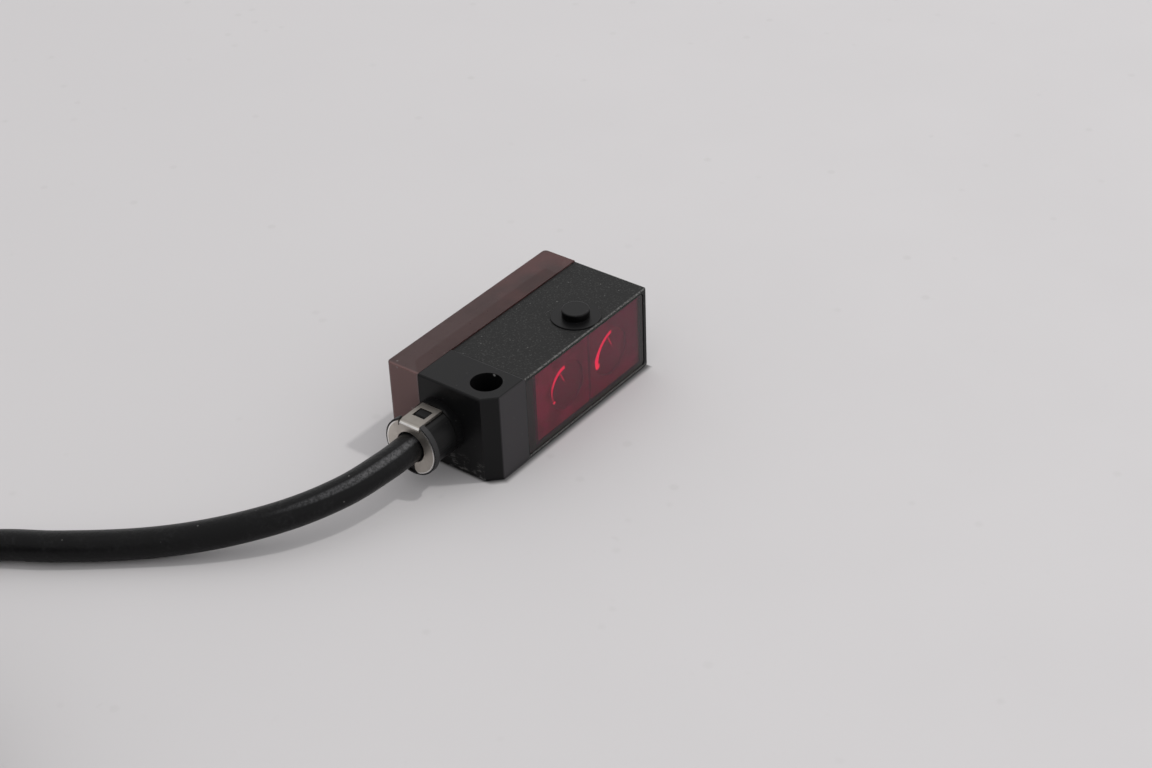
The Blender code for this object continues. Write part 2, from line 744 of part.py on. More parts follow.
def make_optical_packages():
    """The emitter diode and the detector, on the front of the board."""
    for name, axis_x, size, material in (
        ("emitter_led", EMITTER_X, DIODE_SIZE, "diode_red"),
        ("receiver_photodiode", RECEIVER_X, DETECTOR_SIZE, "chip_black"),
    ):
        package = box(
            name,
            (axis_x - size[0] / 2, axis_x + size[0] / 2),
            (BOARD_SEAT - size[1], BOARD_SEAT),
            (MID_HEIGHT - size[2] / 2, MID_HEIGHT + size[2] / 2),
            material,
        )
        round_edges(package, FIT, segments=1)
        if name == "emitter_led":
            foot = BOARD_SEAT - size[1]
            dome = arc((0.0, foot), DIODE_DOME / 2, 0, -90, 4)
            profile = [(0.0, foot + FIT), (DIODE_DOME / 2, foot + FIT), *dome[:-1], (0.0, dome[-1][1])]
            join(package, turned("diode_dome_form", profile, "Y", (axis_x, 0, MID_HEIGHT), SMALL_STEPS))


def make_circuit_board():
    """The board across the back of the carrier, with holes for its stakes."""
    outline = rounded_rectangle(
        BOARD_START + FIT,
        CHAMBER_END - 2 * FIT,
        CHAMBER_SIDE_WALL + 2 * FIT,
        HEIGHT - CHAMBER_SIDE_WALL - 2 * FIT,
        CORNER_RADIUS,
    )
    holes = [arc(place, STAKE_DIAMETER / 2 + FIT, 0, 345, SMALL_STEPS - 1) for place in stake_places()]
    return prism("circuit_board", [outline, *holes], BOARD_FRONT, BOARD_BACK, "Y", "board_green")


RESISTOR_ROW = BOARD_HALF - RESISTOR_FROM_EDGE

# Name, distance from the board's start, height above its middle, size along X, Y and Z, and material
BOARD_PARTS = [
    ("indicator_led_green", 2.2, -1.7, (1.6, 0.7, 0.8), "diode_green"),
    ("indicator_led_yellow", 2.2, 1.7, (1.6, 0.7, 0.8), "diode_yellow"),
    ("output_transistor", 5.4, 1.6, (2.9, 1.0, 1.3), "chip_black"),
    ("voltage_regulator", 5.4, -1.6, (2.9, 1.0, 1.6), "chip_black"),
    ("microcontroller", 10.3, 0.0, (4.0, 0.8, 4.0), "chip_black"),
    ("receiver_amplifier", 15.6, 0.0, (3.0, 0.8, 3.0), "chip_black"),
    ("capacitor_1", 18.9, 1.8, (2.0, 1.2, 1.25), "ceramic"),
    ("capacitor_2", 18.9, 0.0, (1.6, 0.8, 0.8), "ceramic"),
    ("capacitor_3", 18.9, -1.8, (1.6, 0.8, 0.8), "ceramic"),
    ("resistor_1", 8.2, RESISTOR_ROW, (1.0, 0.35, 0.5), "chip_black"),
    ("resistor_2", 10.2, RESISTOR_ROW, (1.0, 0.35, 0.5), "chip_black"),
    ("resistor_3", 12.2, RESISTOR_ROW, (1.0, 0.35, 0.5), "chip_black"),
    ("resistor_4", 14.2, RESISTOR_ROW, (1.0, 0.35, 0.5), "chip_black"),
]


def make_board_parts():
    """The packages on the back of the board, under the rear cover."""
    foot = BOARD_BACK + FIT
    for name, along, height, (length, depth, width), material in BOARD_PARTS:
        middle_x = BOARD_START + along
        middle_z = MID_HEIGHT + height
        package = box(
            name,
            (middle_x - length / 2, middle_x + length / 2),
            (foot, foot + depth),
            (middle_z - width / 2, middle_z + width / 2),
            material,
        )
        round_edges(package, FIT, segments=1)


def make_grommet():
    """The rubber bush: a sleeve in the collar and a cupped flange under the clip."""
    inside = CABLE_RADIUS + FIT
    cup = FLANGE_RADIUS - FLANGE_LIP
    flange_back = NECK_END - FIT
    rim = CLIP_BACK - CLIP_SHEET + FIT
    profile = [
        (SLEEVE_RADIUS, NECK_END + SLEEVE_LENGTH),
        (SLEEVE_RADIUS, flange_back),
        (FLANGE_RADIUS, flange_back),
        (FLANGE_RADIUS, rim),
        (cup, rim),
        (cup, CLIP_BACK + FIT),
        (inside, CLIP_BACK + FIT),
        (inside, NECK_END + SLEEVE_LENGTH),
    ]
    centre = (0, CABLE_AXIS_FROM_FRONT, MID_HEIGHT)
    grommet = turned("cable_grommet", profile, "X", centre, ROUND_STEPS, "rubber_black")
    side = STRAP_WIDTH / 2 + STRAP_RELIEF
    notch = box(
        "grommet_notch_cut",
        (CLIP_FACE - 1, NECK_END + FIT / 2),
        (CABLE_AXIS_FROM_FRONT - side, CABLE_AXIS_FROM_FRONT + side),
        (MID_HEIGHT + NECK_FLAT - STRAP_BEND, MID_HEIGHT + 2 * FLANGE_RADIUS),
    )
    return cut(grommet, notch)


def make_clip():
    """The sheet-steel clip: a slotted ring, bent back into a strap with a window for the nub."""
    axis_y = CABLE_AXIS_FROM_FRONT
    hole = CABLE_RADIUS + CLIP_HOLE_GAP
    slot = CLIP_SLOT / 2
    leg_centre_radius = CLIP_RADIUS - CLIP_LEG_ROUND
    leg_y = slot + CLIP_LEG_ROUND
    leg_z = -math.sqrt(leg_centre_radius**2 - leg_y**2)
    leg_angle = math.degrees(math.atan2(leg_z, leg_y))
    hole_angle = math.degrees(math.asin(slot / hole))
    right = arc((leg_y, leg_z), CLIP_LEG_ROUND, 180, 360 + leg_angle)
    left = [(-y, z) for y, z in reversed(right)]
    ring = right
    ring += arc((0, 0), CLIP_RADIUS, leg_angle, 180 - leg_angle, ROUND_STEPS)[1:-1]
    ring += left
    ring += arc((0, 0), hole, 270 - hole_angle, -90 + hole_angle, SMALL_STEPS)
    ring = [(axis_y + y, MID_HEIGHT + z) for y, z in ring]
    clip = prism("cable_clip", [ring], CLIP_FACE, CLIP_BACK, "X", "steel")
    under = MID_HEIGHT + NECK_FLAT + FIT
    relief_floor = under - STRAP_BEND - STRAP_RELIEF_DEPTH
    relief = STRAP_WIDTH / 2 + STRAP_RELIEF
    top_cut = box(
        "clip_top_cut",
        (CLIP_FACE - 1, CLIP_BACK + 1),
        (axis_y - relief, axis_y + relief),
        (relief_floor, MID_HEIGHT + 2 * CLIP_RADIUS),
    )
    cut(clip, top_cut)
    bend_centre = (CLIP_BACK + STRAP_BEND, under - STRAP_BEND)
    side = arc(bend_centre, STRAP_BEND + CLIP_SHEET, 180, 90)
    side += [(STRAP_TIP, under + CLIP_SHEET), (STRAP_TIP, under)]
    side += arc(bend_centre, STRAP_BEND, 90, 180)
    side += [(CLIP_BACK, relief_floor - CLIP_SHEET), (CLIP_FACE, relief_floor - CLIP_SHEET)]
    half = STRAP_WIDTH / 2
    strap = prism("strap_form", [side], axis_y - half, axis_y + half, "Y")
    join(clip, strap)
    window_end = STRAP_TIP - STRAP_WINDOW_FROM_TIP
    window_half = STRAP_WINDOW_WIDTH / 2
    window = box(
        "strap_window_cut",
        (window_end - STRAP_WINDOW_LENGTH, window_end),
        (axis_y - window_half, axis_y + window_half),
        (under - CLIP_SHEET, under + 2 * CLIP_SHEET),
    )
    return cut(clip, window)


def bundle_places(spacing):
    """The places of the four wires in the cable, as offsets across it."""
    half = spacing / 2
    return [(-half, -half), (-half, half), (half, -half), (half, half)]


def make_conductors():
    """The four wires from the end of the jacket to their pads on the board."""
    wire = WIRE_DIAMETER / 2
    pad_y = BOARD_FRONT - 2 * FIT - wire
    pad_x = END_BLOCK + POCKET_FROM_BLOCK - 4 * FIT
    start_x = JACKET_END + FIT
    for colour, (across, along) in zip(WIRES, bundle_places(WIRE_DIAMETER + 2 * FIT)):
        step = 1.5 if along < 0 else 0.5
        start_y = CABLE_AXIS_FROM_FRONT + along
        start_z = MID_HEIGHT + across
        pad_z = MID_HEIGHT + math.copysign(step * WIRE_SPREAD, across)
        route = [
            (start_x, start_y, start_z),
            (start_x + wire, start_y, start_z),
            ((start_x + pad_x) / 2, start_y, start_z + 0.8 * (pad_z - start_z)),
            (pad_x - wire, pad_y, pad_z),
            (pad_x, pad_y, pad_z),
        ]
        tube(f"conductor_{colour}", smooth_curve(route, WIRE_DIAMETER / 2), WIRE_DIAMETER, f"wire_{colour}")


def around_coil(angle, inwards, height):
    """A place by its angle in degrees about the coil's middle and its distance inside the outer edge."""
    turn = math.radians(angle)
    radius = COIL_OUTSIDE - inwards
    return (
        COIL_CENTRE[0] + radius * math.cos(turn),
        COIL_CENTRE[1] + radius * math.sin(turn),
        height,
    )


def make_cord():
    """The cable to its coil, the coil's outer shape, the tail on top and the four bare leads."""
    exit_place = (CLIP_FACE, CABLE_AXIS_FROM_FRONT, MID_HEIGHT)
    route = [(CLIP_FACE + x, CABLE_AXIS_FROM_FRONT + y, height) for x, y, height in CORD_ROUTE]
    last = Vector(route[-1])
    heading = (Vector((*COIL_CENTRE, last.z)) - last).to_2d()
    outer_turn = COIL_OUTSIDE - CABLE_RADIUS
    clear = COIL_OUTSIDE + 6 * FIT + CABLE_RADIUS
    swing = math.asin(outer_turn / heading.length)
    ahead = Matrix.Rotation(-swing, 2) @ heading.normalized()
    run = math.sqrt(heading.length**2 - outer_turn**2) - math.sqrt(clear**2 - outer_turn**2)
    end = (last.x + run * ahead.x, last.y + run * ahead.y, last.z)
    spacing = 2 * CABLE_DIAMETER
    route = smooth_curve([exit_place, *route, end], spacing)
    inside = (JACKET_END, CABLE_AXIS_FROM_FRONT, MID_HEIGHT)
    tube("cable", [inside, *route], CABLE_DIAMETER, "jacket_black")
    ring = rounded_rectangle(COIL_INSIDE, COIL_OUTSIDE, COIL_FLOOR, COIL_TOP, CABLE_RADIUS)
    turned("cable_coil", list(reversed(ring)), "Z", (*COIL_CENTRE, 0), ROUND_STEPS, "jacket_black")
    tail = smooth_curve([around_coil(*place, TAIL_HEIGHT) for place in TAIL_ROUTE], spacing)
    tube("cable_tail", tail, CABLE_DIAMETER, "jacket_black")
    make_leads()


def make_leads():
    """The four stripped wires at the end of the tail, fanned out on top of the coil."""
    angle, inwards = TAIL_ROUTE[-1]
    radius = COIL_OUTSIDE - inwards
    low = COIL_TOP + WIRE_DIAMETER / 2 + FIT
    start = angle + math.degrees(6 * FIT / radius)
    straight = math.degrees(WIRE_DIAMETER / radius)
    for colour, (across, up) in zip(WIRES, bundle_places(WIRE_DIAMETER + 2 * FIT)):
        below = up < 0
        step = 1.5 if below else 0.5
        spread, drop = (0.8, 0.5) if below else (0.3, 0.2)
        first = (inwards + across, TAIL_HEIGHT + up)
        rest = inwards + math.copysign(step * LEAD_SPREAD, across)
        between = (first[0] + spread * (rest - first[0]), first[1] + drop * (low - first[1]))
        route = [
            around_coil(start, *first),
            around_coil(start + straight, *first),
            around_coil(start + LEAD_TURN / 5, *between),
            around_coil(start + LEAD_TURN / 2, rest, low + (first[1] - low) / 8),
            around_coil(start + LEAD_TURN, rest, low),
        ]
        tube(f"lead_{colour}", smooth_curve(route, 2 * WIRE_DIAMETER), WIRE_DIAMETER, f"wire_{colour}")


def make_tie(name, angle):
    """A flat tie round the coil's section, with its head on top."""
    gap = 2 * FIT
    inner = (COIL_INSIDE - gap, COIL_OUTSIDE + gap, COIL_FLOOR - gap, COIL_TOP + gap)
    outer = (
        inner[0] - TIE_SHEET,
        inner[1] + TIE_SHEET,
        inner[2] - TIE_SHEET,
        inner[3] + TIE_SHEET,
    )
    outlines = [
        rounded_rectangle(*outer, CABLE_RADIUS),
        rounded_rectangle(*inner, CABLE_RADIUS - TIE_SHEET),
    ]
    tie = prism(name, outlines, -TIE_WIDTH / 2, TIE_WIDTH / 2, "Y", "tie_white")
    middle = (COIL_INSIDE + COIL_OUTSIDE) / 2
    head = box(
        f"{name}_head_form",
        (middle - TIE_HEAD[0] / 2, middle + TIE_HEAD[0] / 2),
        (-TIE_HEAD[1] / 2, TIE_HEAD[1] / 2),
        (outer[3] - TIE_SHEET / 2, outer[3] + TIE_HEAD[2]),
    )
    round_edges(head, 2 * EDGE_ROUND)
    join(tie, head)
    place = Matrix.Translation(millimetres(*COIL_CENTRE, 0))
    for thing in (tie, head):
        thing.matrix_local = place @ Matrix.Rotation(math.radians(angle), 4, "Z")
    return tie


clear_scene()
parts = make_collection("background_suppression_sensor")
tools = make_collection("cutters")
frame_empty = bpy.data.objects.new("sensor_frame", None)
frame_empty.location = millimetres(*ORIGIN_SHIFT)
parts.objects.link(frame_empty)

make_housing()
make_rear_cover()
make_front_window()
make_optics_carrier()
make_lens("receiver_lens", RECEIVER_X)
make_lens("emitter_lens", EMITTER_X)
make_optical_packages()
make_circuit_board()
make_board_parts()
make_grommet()
make_clip()
make_conductors()
make_cord()
for tie_number, tie_angle in enumerate(TIE_ANGLES, 1):
    make_tie(f"coil_tie_{tie_number}", tie_angle)
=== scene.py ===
"""Looks of the background suppression sensor: its finishes, its wound cable and the stage."""

import math

import bmesh
import bpy
from bpy.props import FloatProperty, FloatVectorProperty, IntProperty, PointerProperty
from mathutils import Matrix, Vector


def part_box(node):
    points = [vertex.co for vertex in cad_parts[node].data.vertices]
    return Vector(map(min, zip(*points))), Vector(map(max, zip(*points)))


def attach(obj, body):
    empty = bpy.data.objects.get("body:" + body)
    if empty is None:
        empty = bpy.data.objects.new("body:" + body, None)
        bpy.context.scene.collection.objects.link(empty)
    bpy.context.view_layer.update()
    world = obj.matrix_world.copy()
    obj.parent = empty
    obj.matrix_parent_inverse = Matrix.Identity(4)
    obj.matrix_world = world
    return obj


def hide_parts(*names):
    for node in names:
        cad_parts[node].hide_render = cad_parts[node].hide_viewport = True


bl_info = {
    "name": "Background suppression sensor",
    "version": (1, 0, 0),
    "blender": (4, 5, 0),
    "location": "View3D > Sidebar > Sensor",
    "description": "Finishes, wound cable and stage of a miniature background suppression sensor",
    "category": "Object",
}

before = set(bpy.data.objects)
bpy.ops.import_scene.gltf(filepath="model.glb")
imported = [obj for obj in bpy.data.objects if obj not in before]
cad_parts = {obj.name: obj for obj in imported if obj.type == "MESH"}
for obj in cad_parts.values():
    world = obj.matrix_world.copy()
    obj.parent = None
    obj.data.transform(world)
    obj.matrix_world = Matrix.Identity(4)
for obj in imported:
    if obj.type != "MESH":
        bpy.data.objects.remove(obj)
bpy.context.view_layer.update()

# The corner where the end face, the window face and the lower wide face meet, in metres. Every
# length below is in millimetres, and every place is counted from this corner.
CORNER = Vector((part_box("rear_cover")[0][0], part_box("housing")[0][1], 0.0))
MM = 0.001

# The body: where the screw block, the front moulding and the cover end, and the heights of the
# grained face, of the front's lower edge and of the stud
END_BLOCK = 5.6
LENGTH = 27.0
BODY_DEPTH = 9.7
DEPTH = 14.0
HEIGHT = 10.4
MIDDLE = HEIGHT / 2
BLOCK_CORNER = 1.45
FACE = 10.25
LOWER_EDGE = 0.42
STUD = (18.1, 2.9)
STUD_TOP = 11.4
STUD_PAD = 5.5
RECEIVER_X = 13.0
EMITTER_X = 20.8
CLIP_RADIUS = 3.15

# The clear part of the window, from its start to its end and above its lower edge
CLEAR_START = 7.0
CLEAR_END = 25.75
CLEAR_LOW = 1.05

# Small highlights on the housing: on the screw hole's edge and on the stud's, with their reach
HIGHLIGHTS = [
    ((4.57, 3.2, 10.2), 0.2),
    ((19.05, 1.7, STUD_TOP), 0.16),
]

# Each lens's arc below is a painted reflection that glows.
# The bright arc in each lens, from the lens's axis: where its circle has its middle, the circle's
# radius, where it ends across, its half width and its strength low and high, then its foot as
# place, reach and strength, and its short branch as offset and strength
LENS_LIGHTS = {
    "receiver_lens": {
        "centre": RECEIVER_X,
        "middle": (-0.12, 0.02),
        "radius": 2.31,
        "top": 0.05,
        "widths": (0.03, 0.15),
        "levels": (0.3, 0.8),
        "foot": (-2.1, -1.15, 0.24, 0.8),
        "branch": (0.11, 0.4),
    },
    "emitter_lens": {
        "centre": EMITTER_X,
        "middle": (0.72, -0.81),
        "radius": 3.16,
        "top": 0.5,
        "widths": (0.26, 0.13),
        "levels": (1.0, 0.8),
        "foot": (-2.3, -0.85, 0.55, 1.0),
        "branch": (-0.46, 0.45),
    },
}

# The cable: its axis, where it leaves the clip and where the jacket ends inside. The route is
# across and back from the exit, with the height above the floor.
CABLE_AXIS = 6.95
CABLE_EXIT = -4.9
JACKET_INSIDE = 2.6
CABLE_ROUTE = [
    (-3.5, 0.25, 4.95),
    (-8.6, 1.5, 4.3),
    (-14.0, 4.45, 3.45),
    (-19.4, 9.35, 2.4),
    (-24.1, 14.85, 1.72),
    (-29.3, 21.75, 1.62),
    (-32.4, 26.65, 1.62),
    (-36.1, 30.7, 1.62),
    (-40.9, 33.4, 1.62),
]
ROUTE_STEPS = 40

# The coil: its place and size, the points of a turn and the share of a turn in which it climbs to
# the next layer. The tail on top is in degrees and distances in from the coil's outside.
COIL_FROM_EXIT = (-76.9, 18.25)
COIL_CENTRE = (CABLE_EXIT + COIL_FROM_EXIT[0], CABLE_AXIS + COIL_FROM_EXIT[1])
COIL_MEAN_DIAMETER = 33.2
COIL_FLOOR = 0.6
TURN_POINTS = 72
CLIMB = 0.629
TAIL_ROUTE = [(76.0, 3.4), (98.0, 3.8), (120.0, 4.2), (142.0, 4.6), (163.0, 5.0), (182.0, 5.2)]

# The leads: how far they run on in degrees, how far apart they lie, the distance between their
# points, and the points at their end that the strands take and that the insulation leaves free
LEAD_TURN = 76.0
LEAD_PITCH = 1.6
LEAD_STEP = 0.8
BARE_POINTS = 8
FREE_POINTS = 6
WIRE_COLOURS = {
    "brown": (0.105, 0.036, 0.016),
    "white": (0.72, 0.71, 0.68),
    "blue": (0.016, 0.085, 0.36),
    "black": (0.012, 0.012, 0.013),
}

# The strands round the middle one, their size as a share of the wire's, and their twist
STRANDS = 6
STRAND_SHARE = 0.2
STRAND_PITCH = 4.0

# The ties: their angles on the coil, their strap, and the blocks of the head as low corner, high
# corner, rounding and its steps, from the middle of the strap's top
TIE_ANGLES = (22.0, 272.0)
TIE_WIDTH = 2.5
TIE_SHEET = 0.5
TIE_GAP = 0.08
TIE_HEAD = [
    ((-1.7, -1.8, -0.3), (1.7, -0.55, 2.1), 0.25, 3),
    ((-1.7, 0.55, -0.3), (1.7, 1.8, 2.1), 0.25, 3),
    ((-1.7, -0.9, -0.3), (-0.5, 0.9, 1.9), 0.15, 3),
    ((0.75, -0.9, -0.3), (1.7, 0.9, 1.9), 0.15, 3),
    ((-0.28, -1.15, -0.4), (0.24, 1.15, 2.25), 0.06, 2),
]
TIE_TEETH = 5
TIE_TOOTH_PITCH = 0.42

# The floor's half side and how far it lies below the sensor, both in metres
FLOOR_HALF = 6.0
FLOOR_DROP = 0.00005

# The camera, fitted to the photograph's edges, and where the key lamp stands
CAMERA_LENS = 68.16
CAMERA_PLACE = (-135.41, -118.51, 137.37)
CAMERA_AHEAD = Vector((0.64350, 0.51041, -0.57043))
CAMERA_RIGHT = Vector((0.60267, -0.79730, -0.03354))
CAMERA_UP = Vector((0.47192, 0.32221, 0.82068))
KEY_FROM = Vector((0.309, -0.337, 0.889))

# The facing of the cable's painted sheen, and the colour of the clip's painted highlights
SHEEN_FACING = (-0.19, -0.49, 0.85)
STEEL_HIGHLIGHT = (0.98, 0.96, 0.93)

# The Mix node's sockets for colours
MIX_FACTOR, MIX_FIRST, MIX_SECOND, MIX_RESULT = 0, 6, 7, 2


def at(x, y, z):
    """A place in metres in the frame, from millimetres."""
    return CORNER + Vector((x, y, z)) * MM


def node_box(name):
    """The low and the high corner of a node's box in millimetres from the corner."""
    return [(Vector(end) - CORNER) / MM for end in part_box(name)]


def span(first, second):
    """The distance from the middle of two offsets at right angles, as wires."""
    return (first**2.0 + second**2.0) ** 0.5


def shade(colour, share):
    """A colour made lighter or darker by a share."""
    return tuple(share * part for part in colour)


def colour_property(name, description, default):
    """A colour that a user may change."""
    limits = {"size": 3, "min": 0.0, "max": 1.0, "subtype": "COLOR"}
    return FloatVectorProperty(name=name, description=description, default=default, **limits)


def share_property(name, description, default):
    """A value from 0 to 1 that a user may change."""
    return FloatProperty(
        name=name, description=description, default=default, min=0.0, max=1.0, subtype="FACTOR"
    )


def size_property(name, description, default, low, high):
    """A length in metres that a user may change."""
    return FloatProperty(
        name=name, description=description, default=default, min=low, max=high, unit="LENGTH"
    )


class StageSettings(bpy.types.PropertyGroup):
    floor: colour_property("Floor", "Colour of the floor", (0.630757, 0.617207, 0.623960))
    ambient: FloatProperty(
        name="Ambient", description="Brightness of the room all round", default=0.82, min=0.0
    )
    key: FloatProperty(name="Key", description="Strength of the key lamp", default=0.70, min=0.0)
    key_spread: FloatProperty(
        name="Key spread",
        description="Width of the key lamp as an angle",
        default=math.radians(3.5),
        subtype="ANGLE",
    )


class HousingSettings(bpy.types.PropertyGroup):
    textured: colour_property("Textured", "Colour of the grained faces", (0.0118, 0.0119, 0.0118))
    smooth: colour_property("Smooth", "Colour of the smooth screw block", (0.0050, 0.0050, 0.0053))
    grain: FloatProperty(
        name="Grain", description="Size of the mould's grain in millimetres", default=0.2, min=0.02
    )
    grain_depth: FloatProperty(
        name="Grain depth", description="Depth of the grain in millimetres", default=0.012, min=0.0
    )


class CoverSettings(bpy.types.PropertyGroup):
    colour: colour_property("Colour", "Colour of the smoked cover", (0.059, 0.025, 0.0235))
    opacity: share_property("Opacity", "How much the cover hides", 0.86)


class OpticsSettings(bpy.types.PropertyGroup):
    tint: colour_property("Tint", "Colour of the window", (0.62, 0.011, 0.175))
    carrier: colour_property("Carrier", "Colour of the block behind the window", (0.42, 0.2, 0.34))
    glint: colour_property("Glint", "Colour of the bright arcs in the lenses", (1.0, 0.1, 0.22))


class ClipSettings(bpy.types.PropertyGroup):
    steel: colour_property("Steel", "Colour of the sheet steel", (0.50, 0.465, 0.42))
    roughness: share_property("Roughness", "Dullness of the steel", 0.36)


class CordSettings(bpy.types.PropertyGroup):
    jacket: colour_property("Jacket", "Colour of the cable's jacket", (0.0036, 0.0036, 0.0039))
    diameter: size_property("Diameter", "Diameter of the jacket", 0.0032, 0.002, 0.005)
    length: size_property("Length", "Length of the cable", 2.0, 0.5, 10.0)
    rows: IntProperty(name="Rows", description="Turns side by side in the coil", default=5, min=2)
    layers: IntProperty(name="Layers", description="Layers of turns in the coil", default=4, min=1)
    wire: size_property("Wire", "Diameter of one insulated wire", 0.0009, 0.0004, 0.002)
    tie: colour_property("Tie", "Colour of the nylon ties", (0.66, 0.65, 0.61))


class BoardSettings(bpy.types.PropertyGroup):
    mask: colour_property("Solder mask", "Colour of the circuit board", (0.012, 0.085, 0.032))
    metal: colour_property("Metal", "Colour of pads and terminals", (0.62, 0.60, 0.56))


# In the order of the operators that use them
SETTINGS = {
    "sensor_stage": StageSettings,
    "sensor_cord": CordSettings,
    "sensor_housing": HousingSettings,
    "sensor_cover": CoverSettings,
    "sensor_optics": OpticsSettings,
    "sensor_clip": ClipSettings,
    "sensor_board": BoardSettings,
}


class Wire:
    """One output of a node. A sum of wires and numbers adds the nodes that work it out."""

    def __init__(self, tree, socket):
        self.tree = tree
        self.socket = socket

    def join(self, operation, first, second=0.0):
        vector = self.socket.type == "VECTOR"
        node = self.tree.nodes.new("ShaderNodeVectorMath" if vector else "ShaderNodeMath")
        node.operation = operation
        plug(self.tree, node.inputs[0], first)
        plug(self.tree, node.inputs[1], second)
        return Wire(self.tree, node.outputs[0])

    def __add__(self, other):
        return self.join("ADD", self, other)

    __radd__ = __add__

    def __sub__(self, other):
        return self.join("SUBTRACT", self, other)

    def __rsub__(self, other):
        return self.join("SUBTRACT", other, self)

    def __mul__(self, other):
        return self.join("MULTIPLY", self, other)

    __rmul__ = __mul__

    def __pow__(self, other):
        return self.join("POWER", self, other)

    def __abs__(self):
        return self.join("ABSOLUTE", self)


def plug(tree, socket, value):
    """Give a socket a wire, a number, or one number for all of its parts."""
    if isinstance(value, Wire):
        tree.links.new(value.socket, socket)
    elif socket.type == "RGBA" and len(value) == 3:
        socket.default_value = (*value, 1.0)
    elif socket.type == "VECTOR" and isinstance(value, (int, float)):
        socket.default_value = (value, value, value)
    else:
        socket.default_value = value


class Recipe:
    """The nodes of one finish."""

    def __init__(self, tree):
        self.tree = tree

    def node(self, kind, settings=None, sockets=None, output=0):
        """Any node, with its settings first and then its sockets, and one of its outputs."""
        node = self.tree.nodes.new(kind)
        for name, value in (settings or {}).items():
            setattr(node, name, value)
        for name, value in (sockets or {}).items():
            plug(self.tree, node.inputs[name], value)
        return Wire(self.tree, node.outputs[output])

    def place(self):
        """The place on the object in millimetres from the corner."""
        return self.node("ShaderNodeTexCoord", output="Object") * (1.0 / MM) - tuple(CORNER / MM)

    def axes(self, place):
        """The three parts of a place."""
        return [self.node("ShaderNodeSeparateXYZ", None, {0: place}, k) for k in range(3)]

    def noise(self, place, size, detail=2.0, roughness=0.5):
        """Smooth noise from 0 to 1 with features of a size in millimetres."""
        sockets = {"Vector": place, "Scale": 1.0 / size, "Detail": detail, "Roughness": roughness}
        return self.node("ShaderNodeTexNoise", None, sockets)

    def specks(self, place, size, share):
        """A mask of sparse round specks with cells of a size in millimetres."""
        cells = {"Vector": place, "Scale": 1.0 / size}
        near = self.node("ShaderNodeTexVoronoi", None, cells, "Distance")
        cell = self.node("ShaderNodeTexVoronoi", None, cells, "Position")
        dice = self.node("ShaderNodeTexWhiteNoise", None, {"Vector": cell})
        return self.ramp(near, 0.22, 0.08) * self.ramp(dice, 1.0 - share, 1.001 - share)

    def ramp(self, value, start, end):
        """0 at the start and 1 at the end, with a smooth rise between them."""
        sockets = {"Value": value, "From Min": start, "From Max": end}
        return self.node("ShaderNodeMapRange", {"interpolation_type": "SMOOTHSTEP"}, sockets)

    def fall(self, value, start, end):
        """1 at the start and 0 at the end."""
        return 1.0 - self.ramp(value, start, end)

    def between(self, value, low, full, hold, high):
        """1 from full to hold, and 0 below low and above high."""
        return self.ramp(value, low, full) * self.fall(value, hold, high)

    def patch(self, x, z, centre, across, tall):
        """A soft rectangle round a centre, with the start and end of each half width's edge."""
        wide = self.fall(abs(x - centre[0]), *across)
        return wide * self.fall(abs(z - centre[1]), *tall)

    def most(self, first, *others):
        """The greatest of several values."""
        for other in others:
            first = first.join("MAXIMUM", first, other)
        return first

    def mix(self, factor, first, second):
        """The first colour where the factor is 0 and the second where it is 1."""
        sockets = {MIX_FACTOR: factor, MIX_FIRST: first, MIX_SECOND: second}
        return self.node("ShaderNodeMix", {"data_type": "RGBA"}, sockets, MIX_RESULT)

    def bump(self, height):
        """A normal for a height in millimetres."""
        sockets = {"Height": height, "Distance": MM, "Strength": 1.0}
        return self.node("ShaderNodeBump", None, sockets)

    def measure(self, operation, first, second):
        """One number from two vectors, such as their distance."""
        sockets = {0: first, 1: second}
        return self.node("ShaderNodeVectorMath", {"operation": operation}, sockets, "Value")

    def spot(self, place, centre, reach):
        """1 at a point and 0 from a reach in millimetres on."""
        return self.fall(self.measure("DISTANCE", place, centre), reach / 3, reach)


def make_finish(name, fixed, vary):
    """A material: fixed values on the shader's own sockets, and wires into those that vary."""
    material = bpy.data.materials.new(name)
    material.use_nodes = True
    tree = material.node_tree
    shader = tree.nodes["Principled BSDF"]
    for socket, value in fixed.items():
        plug(tree, shader.inputs[socket], value)
    for socket, wire in vary(Recipe(tree)).items():
        plug(tree, shader.inputs[socket], wire)
    return material


def dress(material, name):
    """Give a CAD node a better material in its own slots."""
    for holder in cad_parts[name].material_slots:
        holder.material = material


def add_object(name, data):
    """A new object in the scene."""
    thing = bpy.data.objects.new(name, data)
    bpy.context.scene.collection.objects.link(thing)
    return thing


def add_mesh(name, bm):
    """A new mesh from what was modelled."""
    mesh = bpy.data.meshes.new(name)
    bm.to_mesh(mesh)
    bm.free()
    return mesh


def add_piece(name, data, material, slot, *replaced):
    """A new piece that rides on the root body and stands for CAD nodes."""
    piece = add_object(name, data)
    data.materials.append(material)
    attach(piece, "root")
    if replaced:
        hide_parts(*replaced)
    return piece


